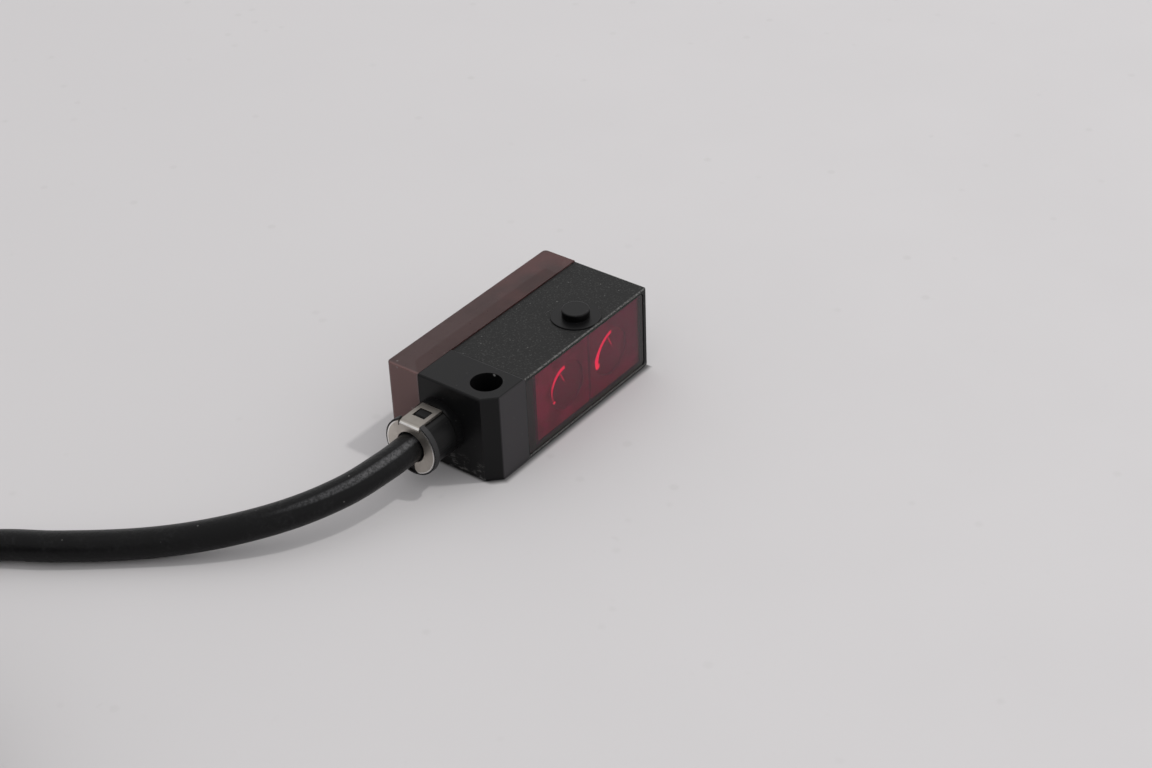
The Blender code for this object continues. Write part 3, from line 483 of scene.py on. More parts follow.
def smooth_route(route, spacing):
    """Points every so far along a smooth curve through the route's own points."""
    knots = [Vector(point) for point in route]
    knots = [2 * knots[0] - knots[1], *knots, 2 * knots[-1] - knots[-2]]
    fine = []
    for before, first, second, after in zip(knots, knots[1:], knots[2:], knots[3:]):
        apart = (second - first).length
        leave = (second - before) * (apart / (apart + (first - before).length))
        arrive = (after - first) * (apart / (apart + (after - second).length))
        for k in range(ROUTE_STEPS):
            t = k / ROUTE_STEPS
            fine.append(
                first * (2 * t**3 - 3 * t**2 + 1)
                + leave * (t**3 - 2 * t**2 + t)
                + second * (3 * t**2 - 2 * t**3)
                + arrive * (t**3 - t**2)
            )
    fine.append(knots[-2])
    return even_points(fine, spacing)


def even_points(points, spacing):
    """The same line with points at even distances."""
    lengths = [(b - a).length for a, b in zip(points, points[1:])]
    count = max(2, round(sum(lengths) / spacing))
    step = sum(lengths) / count
    result = [points[0]]
    walked = 0.0
    for first, second, length in zip(points, points[1:], lengths):
        while len(result) < count and walked + length >= len(result) * step:
            result.append(first.lerp(second, (len(result) * step - walked) / length))
        walked += length
    return [*result, points[-1]]


def round_line(name, lines, diameter, sides):
    """Round cords through lines of points in millimetres, with closed ends."""
    curve = bpy.data.curves.new(name, "CURVE")
    curve.dimensions = "3D"
    curve.bevel_depth = diameter / 2
    curve.bevel_resolution = sides // 2 - 2
    curve.use_fill_caps = True
    for points in lines:
        spline = curve.splines.new("POLY")
        spline.points.add(len(points) - 1)
        for point, place in zip(spline.points, points):
            point.co = (*at(*place), 1.0)
        spline.use_smooth = True
    return curve


def around_coil(angle, radius, height):
    """A place from an angle in degrees and a distance round the coil's axis."""
    turn = math.radians(angle)
    return Vector(
        (COIL_CENTRE[0] + radius * math.cos(turn), COIL_CENTRE[1] + radius * math.sin(turn), height)
    )


def coil_radii(settings):
    """The inside and the outside of the coil's section."""
    width = settings.rows * settings.diameter / MM
    return COIL_MEAN_DIAMETER / 2 - width / 2, COIL_MEAN_DIAMETER / 2 + width / 2


def wound_turns(settings, entry):
    """The turns of the coil, layer by layer, inwards and outwards by turns, and where they end."""
    size = settings.diameter / MM
    inside, outside = (edge + sign * size / 2 for edge, sign in zip(coil_radii(settings), (1, -1)))
    turns = settings.rows - 1
    height = COIL_FLOOR + size / 2
    angle = entry
    points = []
    for layer in range(settings.layers):
        start, end = (outside, inside) if layer % 2 == 0 else (inside, outside)
        for k in range(turns * TURN_POINTS):
            t = k / (turns * TURN_POINTS)
            points.append(around_coil(angle + 360 * turns * t, start + (end - start) * t, height))
        angle += 360 * turns
        if layer < settings.layers - 1:
            steps = round(CLIMB * TURN_POINTS)
            for k in range(steps):
                t = k / steps
                rise = size * t * t * (3 - 2 * t)
                points.append(around_coil(angle + 360 * CLIMB * t, end, height + rise))
            angle += 360 * CLIMB
            height += size
    points.append(around_coil(angle, end, height))
    return points, angle % 360, end, height


def tail_height(settings):
    """The height of the tail's middle, on top of the coil."""
    return COIL_FLOOR + (settings.layers + 0.5) * settings.diameter / MM + 0.05


def cable_line(settings):
    """The whole centreline of the cable: inside, route, coil and tail."""
    size = settings.diameter / MM
    inside = Vector((JACKET_INSIDE, CABLE_AXIS, MIDDLE))
    leave = Vector((CABLE_EXIT, CABLE_AXIS, MIDDLE))
    route = [leave] + [Vector((CABLE_EXIT + x, CABLE_AXIS + y, z)) for x, y, z in CABLE_ROUTE]
    outside = coil_radii(settings)[1]
    outer_turn = outside - size / 2
    last = route[-1]
    to_centre = Vector(COIL_CENTRE) - last.to_2d()
    swing = math.asin(outer_turn / to_centre.length)
    ahead = Matrix.Rotation(-swing, 2) @ to_centre.normalized()
    reach = math.sqrt(to_centre.length**2 - outer_turn**2)
    low = COIL_FLOOR + size / 2
    for share in (0.5, 0.93):
        place = last.to_2d() + ahead * reach * share
        route.append(Vector((*place, last.z + (low - last.z) * share)))
    entry = math.degrees(math.atan2(ahead.y, ahead.x)) - 90
    turns, angle, radius, height = wound_turns(settings, entry)
    tail = [
        around_coil(angle + 13, radius, height + 0.28 * size),
        around_coil(angle + 26, radius - 0.22 * size, height + 0.72 * size),
    ]
    tail += [around_coil(a, outside - inwards, tail_height(settings)) for a, inwards in TAIL_ROUTE]
    return [
        *even_points([inside, leave], 1.0)[:-1],
        *smooth_route([*route, turns[0]], 1.0)[:-1],
        *turns[:-1],
        *smooth_route([turns[-1], *tail], 1.5),
    ]


def lead_lines(settings):
    """The line of each bare lead, fanned out from the jacket's end on top of the coil."""
    angle, inwards = TAIL_ROUTE[-1]
    height = tail_height(settings)
    outside = coil_radii(settings)[1]
    wire = settings.wire / MM
    low = height - (settings.diameter / MM - wire) / 2
    lines = []
    half = (wire + 0.1) / 2
    for across, up in ((-half, -half), (-half, half), (half, -half), (half, half)):
        below = up < 0
        spread, drop = (0.8, 0.5) if below else (0.3, 0.2)
        rest = inwards + math.copysign((1.5 if below else 0.5) * LEAD_PITCH, across)
        first = (inwards + across, height + up)
        between = (first[0] + spread * (rest - first[0]), first[1] + drop * (low - first[1]))
        stations = [(-3.0, *first), (0.6, *first), (3.0, *first), (LEAD_TURN / 5, *between)]
        stations += [(LEAD_TURN / 2, rest, low + (first[1] - low) / 8), (LEAD_TURN, rest, low)]
        places = [around_coil(angle + turn, outside - inner, z) for turn, inner, z in stations]
        lines.append(smooth_route(places, LEAD_STEP))
    return lines


def strands(line, wire):
    """Fine twisted strands along the last part of a wire."""
    tip = line[-BARE_POINTS:]
    result = [tip]
    for number in range(STRANDS):
        twisted = []
        for k, place in enumerate(tip):
            ahead = (tip[min(k + 1, len(tip) - 1)] - tip[max(k - 1, 0)]).normalized()
            side = ahead.cross(Vector((0, 0, 1))).normalized()
            turn = 2 * math.pi * (number / STRANDS + k * LEAD_STEP / STRAND_PITCH)
            offset = math.cos(turn) * side + math.sin(turn) * side.cross(ahead)
            twisted.append(place + offset * wire * STRAND_SHARE)
        result.append(twisted)
    return result


def band(bm, outline):
    """A tie's closed flat strap round an outline of radius and height points."""
    half, edge = TIE_WIDTH / 2, 0.12 * TIE_SHEET
    side = [(0.0, half - edge), (edge, half), (TIE_SHEET - edge, half), (TIE_SHEET, half - edge)]
    section = [(deep, -across) for deep, across in side] + side[::-1]
    count = len(outline)
    rings = []
    for k, (u, v) in enumerate(outline):
        before, after = Vector(outline[k - 1]), Vector(outline[(k + 1) % count])
        ahead = (after - before).normalized()
        out = Vector((ahead.y, -ahead.x))
        places = [Vector((u, v)) + out * deep for deep, _ in section]
        ring = [bm.verts.new((p.x, across, p.y)) for p, (_, across) in zip(places, section)]
        rings.append(ring)
    for first, second in zip(rings, rings[1:] + rings[:1]):
        for k in range(len(first)):
            after = (k + 1) % len(first)
            bm.faces.new((first[k], first[after], second[after], second[k]))


def block(bm, low, high, rounding, segments):
    """A box between two corners with rounded edges."""
    made = bmesh.ops.create_cube(bm, size=1.0)["verts"]
    size = [b - a for a, b in zip(low, high)]
    middle = [(a + b) / 2 for a, b in zip(low, high)]
    matrix = Matrix.Translation(middle) @ Matrix.Diagonal((*size, 1.0))
    bmesh.ops.transform(bm, matrix=matrix, verts=made)
    edges = list({edge for vert in made for edge in vert.link_edges})
    bmesh.ops.bevel(
        bm, geom=made + edges, offset=rounding, segments=segments, profile=0.5, affect="EDGES"
    )


def rounded_outline(left, right, low, high, radius, steps=6):
    """A clockwise outline with four round corners."""
    outline = []
    for u, v, start in ((right, high, 90), (right, low, 0), (left, low, -90), (left, high, -180)):
        centre_u = u - radius if u == right else u + radius
        centre_v = v - radius if v == high else v + radius
        for k in range(steps + 1):
            turn = math.radians(start - 90 * k / steps)
            outline.append((centre_u + radius * math.cos(turn), centre_v + radius * math.sin(turn)))
    return outline


def tie_mesh(name, settings, angle):
    """A nylon tie round the coil's section: strap, head with its slot, and the cut end."""
    size = settings.diameter / MM
    inside, outside = coil_radii(settings)
    top = COIL_FLOOR + settings.layers * size + TIE_GAP
    bottom = COIL_FLOOR - TIE_GAP
    rounding = size / 2 - TIE_SHEET
    bm = bmesh.new()
    band(bm, rounded_outline(inside - TIE_GAP, outside + TIE_GAP, bottom, top, rounding))
    head = ((inside + outside) / 2, 0.0, top + TIE_SHEET)
    teeth = [
        ((0.2, -0.8, 0.1 + rise), (0.36, 0.8, 0.3 + rise), 0.05, 1)
        for rise in (TIE_TOOTH_PITCH * k for k in range(TIE_TEETH))
    ]
    for low, high, rounding, segments in [*TIE_HEAD, *teeth]:
        corners = ([a + b for a, b in zip(head, corner)] for corner in (low, high))
        block(bm, *corners, rounding, segments)
    bmesh.ops.recalc_face_normals(bm, faces=bm.faces)
    turn = Matrix.Rotation(math.radians(angle), 4, "Z")
    place = Matrix.Translation(at(*COIL_CENTRE, 0.0)) @ turn @ Matrix.Scale(MM, 4)
    bmesh.ops.transform(bm, matrix=place, verts=bm.verts)
    mesh = add_mesh(name, bm)
    mesh.shade_smooth()
    mesh.set_sharp_from_angle(angle=math.radians(40))
    return mesh


def jacket_finish(settings):
    """The dull black jacket, with a mottled painted sheen near the sensor on the side where the key
    lamp's highlight falls.
    """

    def vary(recipe):
        place = recipe.place()
        broad = recipe.noise(place, 2.6, 3.0, 0.6)
        fine = recipe.noise(place, 0.45, 3.0, 0.65)
        bloom = recipe.ramp(broad, 0.42, 0.66) * recipe.ramp(fine, 0.4, 0.7)
        dust = recipe.specks(place, 0.6, 0.03)
        colour = recipe.mix(bloom * 0.35, settings.jacket, (0.02, 0.02, 0.021))
        # Painted sheen: a mottled highlight near the sensor, on the side that faces the key lamp's
        # highlight
        facing = recipe.node("ShaderNodeNewGeometry", output="Normal")
        side = recipe.measure("DOT_PRODUCT", facing, SHEEN_FACING)
        painted_sheen = recipe.ramp(side, 0.945, 0.995) * recipe.ramp(recipe.axes(place)[0], -36.0, -16.0)
        mottle = 0.35 + 0.65 * recipe.ramp(recipe.noise(place, 0.3, 3.0, 0.7), 0.38, 0.62)
        colour = recipe.mix(painted_sheen * mottle, colour, (0.068, 0.068, 0.071))
        return {
            "Base Color": recipe.mix(dust * 0.4, colour, (0.2, 0.2, 0.19)),
            "Roughness": 0.26 + 0.1 * broad + 0.12 * fine,
            "Normal": recipe.bump(fine * 0.05 + broad * 0.05),
        }

    return make_finish("cable_jacket", {"Specular IOR Level": 0.16}, vary)


def wire_finish(name, colour):
    """The insulation of one wire, slightly streaked."""

    def vary(recipe):
        place = recipe.place()
        stripes = recipe.noise(place, 0.8)
        streak = recipe.ramp(stripes, 0.3, 0.75) * 0.6
        return {
            "Base Color": recipe.mix(streak, colour, shade(colour, 0.72)),
            "Roughness": 0.3 + 0.15 * stripes,
            "Normal": recipe.bump(recipe.noise(place, 0.25) * 0.006),
        }

    return make_finish(name, {}, vary)


def copper_finish():
    """Bare copper with a light stain."""

    def vary(recipe):
        stain = recipe.noise(recipe.place(), 0.5)
        dull = recipe.ramp(stain, 0.4, 0.7)
        return {
            "Base Color": recipe.mix(dull, (0.86, 0.40, 0.22), (0.62, 0.26, 0.14)),
            "Roughness": 0.22 + 0.2 * stain,
        }

    return make_finish("bare_copper", {"Metallic": 1.0}, vary)


def wire_materials():
    """The insulation of all four wires, shared by the leads and the inner wires."""
    finishes = {}
    for wire, colour in WIRE_COLOURS.items():
        name = f"insulation_{wire}"
        finishes[wire] = bpy.data.materials.get(name) or wire_finish(name, colour)
    return finishes


class SENSOR_OT_stage(bpy.types.Operator):
    """Set up the camera, the floor, the key lamp and the room's light"""

    bl_idname = "sensor.stage"
    bl_label = "Stage"

    def execute(self, context):
        settings = context.scene.sensor_stage
        context.scene.view_settings.view_transform = "Standard"
        view = bpy.data.cameras.new("view")
        view.sensor_width = 36.0
        view.lens = CAMERA_LENS
        view.clip_start = 0.005
        view.clip_end = 20.0
        camera = add_object("view", view)
        turned = Matrix((CAMERA_RIGHT, CAMERA_UP, -CAMERA_AHEAD)).transposed().to_4x4()
        turned.translation = at(*CAMERA_PLACE)
        camera.matrix_world = turned
        context.scene.camera = camera

        lamp = bpy.data.lights.new("key_lamp", "SUN")
        lamp.energy = settings.key
        lamp.angle = settings.key_spread
        lamp.color = (1.0, 0.985, 0.965)
        key = add_object("key_lamp", lamp)
        key.rotation_euler = KEY_FROM.to_track_quat("Z", "Y").to_euler()
        self.room(context, settings.ambient)
        bm = bmesh.new()
        bmesh.ops.create_grid(bm, x_segments=24, y_segments=24, size=FLOOR_HALF)
        bmesh.ops.translate(bm, vec=(0, 0, -FLOOR_DROP), verts=bm.verts)
        floor = add_object("floor", add_mesh("floor", bm))
        floor.data.materials.append(self.floor_finish(settings))
        return {"FINISHED"}

    def room(self, context, ambient):
        """Soft light from all round, a little brighter on the right."""
        world = bpy.data.worlds.new("room")
        world.use_nodes = True
        context.scene.world = world
        recipe = Recipe(world.node_tree)
        background = world.node_tree.nodes["Background"]
        facing = recipe.node("ShaderNodeTexCoord", output="Generated")
        x, y, z = recipe.axes(facing)
        lean = 1.0 + 0.26 * x - 0.04 * y
        plug(world.node_tree, background.inputs["Strength"], lean * ambient)
        background.inputs["Color"].default_value = (1.0, 0.995, 1.0, 1.0)

    def floor_finish(self, settings):
        """Pale paper with faint marks, painted light that grows towards the far end and the
        window's side, and a painted contact shadow as a thin dark line where the body's front meets
        it.
        """

        def vary(recipe):
            place = recipe.place()
            x, y, z = recipe.axes(place)
            soft = recipe.noise(place, 30.0, 3.0, 0.6)
            fibre = recipe.noise(place, 1.4, 3.0, 0.6)
            marks = recipe.specks(place, 3.2, 0.16) * recipe.noise(place, 6.0)
            # Painted light: the paper is lighter towards the far end and the window's side, and
            # darker away from them
            dim, bright = shade(settings.floor, 0.93), shade(settings.floor, 1.03)
            across = recipe.ramp(0.70 * x - 0.70 * y, -130.0, 110.0)
            paper = recipe.mix(across, dim, bright)
            paper = recipe.mix(recipe.ramp(soft, 0.3, 0.7) * 0.2, paper, dim)
            paper = recipe.mix(recipe.ramp(fibre, 0.62, 0.8) * 0.06, paper, (0.45, 0.44, 0.42))
            # Painted contact shadow: a dark band round the body's footprint on the floor
            corner = (BLOCK_CORNER - x - y) * 0.71
            outside = recipe.most(0.0 - y, 4.0 * (x - LENGTH), 4.0 * (y - DEPTH), corner)
            painted_contact_shadow = recipe.fall(outside, 0.0, 0.75) * recipe.ramp(x, -0.3, 0.3)
            paper = recipe.mix(painted_contact_shadow * 0.8, paper, (0.05, 0.05, 0.05))
            return {"Base Color": recipe.mix(marks * 0.25, paper, (0.42, 0.41, 0.40))}

        return make_finish("pale_paper", {"Roughness": 0.85, "Specular IOR Level": 0.2}, vary)


class SENSOR_OT_cord(bpy.types.Operator):
    """Wind the cable from its exit to its coil, with its bare leads and the two ties"""

    bl_idname = "sensor.cord"
    bl_label = "Cable, leads and ties"

    def execute(self, context):
        settings = context.scene.sensor_cord
        line = cable_line(settings)
        jacket = add_piece(
            "jacketed_cable",
            round_line("jacketed_cable", [line], settings.diameter, 24),
            jacket_finish(settings),
            "jacket",
            "cable",
            "cable_coil",
            "cable_tail",
        )
        copper = copper_finish()
        wire = settings.wire / MM
        for (colour, insulation), points in zip(wire_materials().items(), lead_lines(settings)):
            name = f"wire_{colour}"
            sleeve = round_line(name, [points[:-FREE_POINTS]], settings.wire, 16)
            add_piece(name, sleeve, insulation, name, f"lead_{colour}")
            end = f"bare_end_{colour}"
            bare = round_line(end, strands(points, wire), STRAND_SHARE * settings.wire, 8)
            add_piece(end, bare, copper, name)
        nylon = self.nylon_finish(settings)
        for number, angle in enumerate(TIE_ANGLES, 1):
            name = f"nylon_tie_{number}"
            mesh = tie_mesh(name, settings, angle)
            add_piece(name, mesh, nylon, "tie", f"coil_tie_{number}")
        return {"FINISHED"}

    def nylon_finish(self, settings):
        """The milky nylon of the ties."""

        def vary(recipe):
            cloud = recipe.noise(recipe.place(), 1.2)
            return {
                "Base Color": recipe.mix(cloud, settings.tie, shade(settings.tie, 0.86)),
                "Roughness": 0.38 + 0.2 * cloud,
                "Normal": recipe.bump(recipe.noise(recipe.place(), 0.3) * 0.01),
            }

        return make_finish("milky_nylon", {}, vary)


class SENSOR_OT_housing(bpy.types.Operator):
    """Give the black moulding its grained faces and its smooth screw block"""

    bl_idname = "sensor.housing"
    bl_label = "Housing"

    def execute(self, context):
        self.settings = context.scene.sensor_housing
        dress(make_finish("grained_black", {"Specular IOR Level": 0.165}, self.black), "housing")
        return {"FINISHED"}

    def black(self, recipe):
        settings = self.settings
        place = recipe.place()
        x, y, z = recipe.axes(place)
        body = recipe.ramp(x, END_BLOCK + 0.02, END_BLOCK + 0.1)
        stud = span(x - STUD[0], y - STUD[1])
        pad = recipe.fall(stud, STUD_PAD / 2 + 0.01, STUD_PAD / 2 + 0.05)
        pad = pad * recipe.ramp(z, 9.0, 9.2)
        grained = body * (1.0 - pad)
        grain = recipe.noise(place, settings.grain, 2.0, 0.6)
        broad = recipe.noise(place, 3.0, 3.0)
        dust = recipe.specks(place, 0.42, 0.06)
        colour = recipe.mix(grained, settings.smooth, settings.textured)
        # Painted light: the screw block's front face is lighter where the key lamp falls on it
        front = (1.0 - body) * recipe.fall(y, 0.03, 0.12)
        colour = recipe.mix(front, colour, (0.032, 0.030, 0.0325))
        pale = recipe.ramp(grain, 0.52, 0.72) * grained
        colour = recipe.mix(pale * 0.7, colour, (0.05, 0.05, 0.049))
        # Painted highlight along the outer edges, speckled as wear
        edge_wear_and_highlight = self.edge_wear_and_highlight(recipe, place, x, y, z) * body
        colour = recipe.mix(edge_wear_and_highlight, colour, (0.14, 0.14, 0.135))
        colour = recipe.mix(self.smear(recipe, place, x, z) * 0.8, colour, (0.12, 0.118, 0.115))
        # Painted shade: the ledges behind the window and the stud's side are made almost black
        shaded_ledge = recipe.between(y, 0.3, 0.4, 0.8, 0.9) * body
        shaded_ledge = shaded_ledge * recipe.between(z, 0.3, 0.5, 9.9, 10.0)
        shaded_stud_side = recipe.between(z, 10.42, 10.5, 11.0, 11.25)
        colour = recipe.mix(recipe.most(shaded_ledge, shaded_stud_side), colour, (0.001, 0.001, 0.001))
        for centre, reach in HIGHLIGHTS:
            colour = recipe.mix(recipe.spot(place, centre, reach) * 0.8, colour, (0.4, 0.4, 0.4))
        return {
            "Base Color": recipe.mix(dust * (0.1 + 0.3 * grained), colour, (0.3, 0.3, 0.29)),
            "Roughness": 0.30 + 0.2 * grained + 0.08 * broad,
            "Normal": recipe.bump(grain * grained * settings.grain_depth + broad * 0.004),
        }

    def smear(self, recipe, place, x, z):
        """Faint scratches low on the end face."""
        rubbed = recipe.noise(place * (1.0, 0.4, 1.3), 0.5, 4.0, 0.7)
        rubbed = recipe.ramp(rubbed, 0.52, 0.68)
        return rubbed * recipe.fall(z, 1.2, 2.8) * recipe.fall(x, 0.01, 0.05)

    def edge_wear_and_highlight(self, recipe, place, x, y, z):
        """The speckled pale line along the body's outer edges, partly wear and partly a painted
        highlight on the edges.
        """
        fleck = recipe.ramp(recipe.noise(place, 0.16, 3.0, 0.7), 0.42, 0.58)
        top = span(y, z - FACE)
        low = span(y, z - LOWER_EDGE)
        side = span(y, x - LENGTH)
        end = span(x - LENGTH, z - FACE)
        lines = recipe.fall(top, 0.1, 0.22) * recipe.ramp(z, 10.1, 10.18)
        for distance, reach, share in ((low, 0.09, 0.95), (side, 0.14, 0.5), (end, 0.14, 0.3)):
            lines = lines + share * recipe.fall(distance, reach, 1.5 * reach)
        return lines * (0.12 + 0.88 * fleck)


class SENSOR_OT_cover(bpy.types.Operator):
    """Give the rear cover its smoked, slightly see-through plastic"""

    bl_idname = "sensor.cover"
    bl_label = "Rear cover"

    def execute(self, context):
        self.settings = context.scene.sensor_cover
        fixed = {"Alpha": self.settings.opacity, "Specular IOR Level": 0.22}
        dress(make_finish("smoked_plastic_clear", fixed, self.smoked), "rear_cover")
        return {"FINISHED"}

    def smoked(self, recipe):
        place = recipe.place()
        cloud = recipe.noise(place, 4.0, 3.0)
        scuff = recipe.noise(place, 0.5, 3.0, 0.65)
        dust = recipe.specks(place, 0.8, 0.08)
        x, y, z = recipe.axes(place)
        red, green, blue = self.settings.colour
        near, far = (0.9 * red, green, blue), (1.3 * red, green, blue)
        base = recipe.mix(recipe.ramp(x, 8.0, 26.0), near, far)
        deep = shade(self.settings.colour, 0.7)
        colour = recipe.mix(recipe.ramp(cloud, 0.35, 0.7), base, deep)
        # Painted light: the end face is made lighter and redder, as if lit through the thin plastic
        end = recipe.fall(x, 0.02, 0.4)
        colour = recipe.mix(end, colour, (0.15, 0.078, 0.074))
        joint = recipe.fall(y, BODY_DEPTH + 0.14, BODY_DEPTH + 0.2) * end
        colour = recipe.mix(joint * 0.5, colour, (0.17, 0.15, 0.15))
        edge = recipe.ramp(y, DEPTH - 0.4, DEPTH - 0.15) * end
        colour = recipe.mix(edge, colour, (0.02, 0.015, 0.015))
        return {
            "Base Color": recipe.mix(dust * 0.4, colour, (0.3, 0.28, 0.27)),
            "Roughness": 0.24 + 0.12 * scuff,
            "Normal": recipe.bump(scuff * 0.003),
        }


class SENSOR_OT_optics(bpy.types.Operator):
    """Give the window, both lenses, their carrier, the diode and the detector their finishes"""

    bl_idname = "sensor.optics"
    bl_label = "Window and optics"

    def execute(self, context):
        self.settings = context.scene.sensor_optics
        clear = {"Transmission Weight": 1.0, "IOR": 1.43}
        block = {"Specular IOR Level": 0.3}
        lit = {"Emission Strength": 1.4, "Specular IOR Level": 0.5}
        dress(make_finish("wine_red_window", clear, self.window), "front_window")
        dress(make_finish("carrier_plastic", block, self.carrier), "optics_carrier")
        for name, light in LENS_LIGHTS.items():
            dress(make_finish(f"{name}_clear", lit, self.lens(**light)), name)
        dress(make_finish("diode_epoxy", {"Roughness": 0.12}, self.diode), "emitter_led")
        package = make_finish("detector_package", {"Roughness": 0.35}, self.detector)
        dress(package, "receiver_photodiode")
        return {"FINISHED"}

    def window(self, recipe):
        """The tinted plate, with painted shade over the carrier's rim."""
        place = recipe.place()
        x, y, z = recipe.axes(place)
        cloud = recipe.noise(place, 3.0, 3.0)
        tint = self.settings.tint
        # Painted shade: the plate is made darker where it lies over the dark frame round the
        # carrier
        rim = recipe.most(CLEAR_START - x, x - CLEAR_END, CLEAR_LOW - z)
        colour = recipe.mix(cloud * 0.5, tint, shade(tint, 0.85))
        return {
            "Base Color": recipe.mix(recipe.ramp(rim, -0.05, 0.1), colour, (0.06, 0.01, 0.012)),
            "Roughness": 0.03 + 0.04 * cloud,
        }

    def carrier(self, recipe):
        """The block behind the window, with the soft clouds that show through it."""
        place = recipe.place()
        x, y, z = recipe.axes(place)
        grain = recipe.noise(place, 0.5)
        cloud = recipe.noise(place, 3.2, 2.0)
        colour = self.settings.carrier
        sheet = recipe.mix(recipe.ramp(x, 8.0, 25.0), shade(colour, 1.4), shade(colour, 0.5))
        sheet = recipe.mix(grain * 0.25, sheet, shade(colour, 0.6))
        sheet = recipe.mix(recipe.ramp(cloud, 0.42, 0.62) * 0.6, sheet, (0.15, 0.14, 0.14))
        warm = recipe.ramp(cloud, 0.52, 0.38) * recipe.fall(z, 1.6, 3.4)
        return {
            "Base Color": recipe.mix(warm * 0.5, sheet, (0.55, 0.2, 0.4)),
            "Roughness": 0.5 + 0.1 * grain,
        }

    def lens(self, centre, middle, radius, top, widths, levels, foot, branch):
        """A clear lens with the bright arc of its edge, the arc's foot and its short branch, all
        painted reflections that glow.
        """

        def vary(recipe):
            x, y, z = recipe.axes(recipe.place())
            across, up = x - centre, z - MIDDLE
            # Painted reflection: the arc, its foot and its branch glow through the Emission Color
            out = span(across - middle[0], up - middle[1])
            rise = recipe.ramp(up, -0.8, 1.8)
            width = widths[0] + (widths[1] - widths[0]) * rise
            arc = recipe.fall(abs(out - radius) - width, 0.0, 0.08)
            arc = arc * recipe.fall(across, top - 0.3, top) * recipe.ramp(up, -1.1, -0.7)
            arc = arc * (levels[0] + (levels[1] - levels[0]) * rise)
            hot = span(across - foot[0], up - foot[1])
            hot = recipe.fall(hot, 0.4 * foot[2], foot[2]) * foot[3]
            line = abs(0.92 * across + 0.39 * up + branch[0])
            twig = recipe.fall(line, 0.04, 0.13) * recipe.between(up, 0.3, 1.3, 1.8, 2.0)
            twig = twig * branch[1]
            light = recipe.mix(hot, self.settings.glint, (1.0, 1.0, 0.2))
            edge = recipe.ramp(span(across, up), 2.2, 2.7)
            return {
                "Base Color": recipe.mix(edge, (0.20, 0.14, 0.14), (0.25, 0.17, 0.17)),
                "Roughness": 0.12 + 0.05 * recipe.noise(recipe.place(), 0.6),
                "Emission Color": recipe.mix(arc + hot + twig, (0.0, 0.0, 0.0), light),
            }

        return vary

    def diode(self, recipe):
        """The clear diode, with its red chip in the middle."""
        x, y, z = recipe.axes(recipe.place())
        out = recipe.ramp(span(x - EMITTER_X, z - MIDDLE), 0.25, 0.35)
        return {"Base Color": recipe.mix(out, (0.8, 0.06, 0.05), (0.5, 0.48, 0.42))}

    def detector(self, recipe):
        """The dark package, with the detector's blue area."""
        x, y, z = recipe.axes(recipe.place())
        area = recipe.patch(x, z, (RECEIVER_X, MIDDLE), (1.15, 1.2), (0.75, 0.8))
        return {"Base Color": recipe.mix(area, (0.012, 0.012, 0.014), (0.03, 0.035, 0.06))}


class SENSOR_OT_clip(bpy.types.Operator):
    """Give the cable clip its satin sheet steel, and the grommet its rubber"""

    bl_idname = "sensor.clip"
    bl_label = "Clip and grommet"

    def execute(self, context):
        self.settings = context.scene.sensor_clip
        dress(make_finish("satin_steel", {"Metallic": 1.0}, self.steel), "cable_clip")
        dress(make_finish("matte_rubber", {}, self.rubber), "cable_grommet")
        return {"FINISHED"}

    def steel(self, recipe):
        """Satin sheet steel, with painted shade on the ring's face and painted highlights on the
        ring's outer edge and along the strap's bend.
        """
        place = recipe.place()
        x, y, z = recipe.axes(place)
        rolled = recipe.noise(place * (1.0, 0.25, 1.0), 0.12, 3.0, 0.6)
        cloud = recipe.noise(place, 1.1, 3.0)
        light = self.settings.steel
        forward = x - CABLE_EXIT
        # Painted shade: the ring's face is a darker copy of the steel than the strap
        ring = recipe.fall(forward, 0.1, 0.35)
        sheet = recipe.mix(ring, shade(light, 0.6), shade(light, 1.2))
        # Painted highlights along the ring's outer edge and the strap's bend
        out = span(y - CABLE_AXIS, z - MIDDLE)
        rim = recipe.ramp(out, CLIP_RADIUS - 0.16, CLIP_RADIUS - 0.1) * ring
        rim = rim * recipe.fall(z, 7.5, 7.9)
        bend = recipe.between(forward, 0.01, 0.05, 0.1, 0.2) * recipe.ramp(z, 7.4, 7.6)
        sheet = recipe.mix(recipe.most(rim, bend), sheet, STEEL_HIGHLIGHT)
        dull = recipe.ramp(cloud, 0.35, 0.7) * 0.2
        return {
            "Base Color": recipe.mix(dull, sheet, (0.2, 0.18, 0.17)),
            "Roughness": self.settings.roughness + 0.14 * (cloud - 0.5),
            "Normal": recipe.bump(rolled * 0.004),
        }

    def rubber(self, recipe):
        """The grommet's matte rubber."""
        grain = recipe.noise(recipe.place(), 0.25)
        return {
            "Base Color": recipe.mix(grain, (0.010, 0.010, 0.011), (0.016, 0.016, 0.017)),
            "Roughness": 0.55 + 0.15 * grain,
            "Normal": recipe.bump(grain * 0.008),
        }


PACKAGES = ("output_transistor", "voltage_regulator", "microcontroller", "receiver_amplifier")
DOT_INSET = 0.5

# Kind of chip, how many there are, and the colour of its body
CHIPS = [
    ("capacitor", 3, (0.34, 0.22, 0.13)),
    ("resistor", 4, (0.014, 0.014, 0.016)),
]

# Name of the lamp's colour, and the colours of its body and of its die
INDICATORS = [
    ("green", (0.12, 0.42, 0.14), (0.3, 0.9, 0.3)),
    ("yellow", (0.55, 0.36, 0.05), (1.0, 0.75, 0.1)),
]


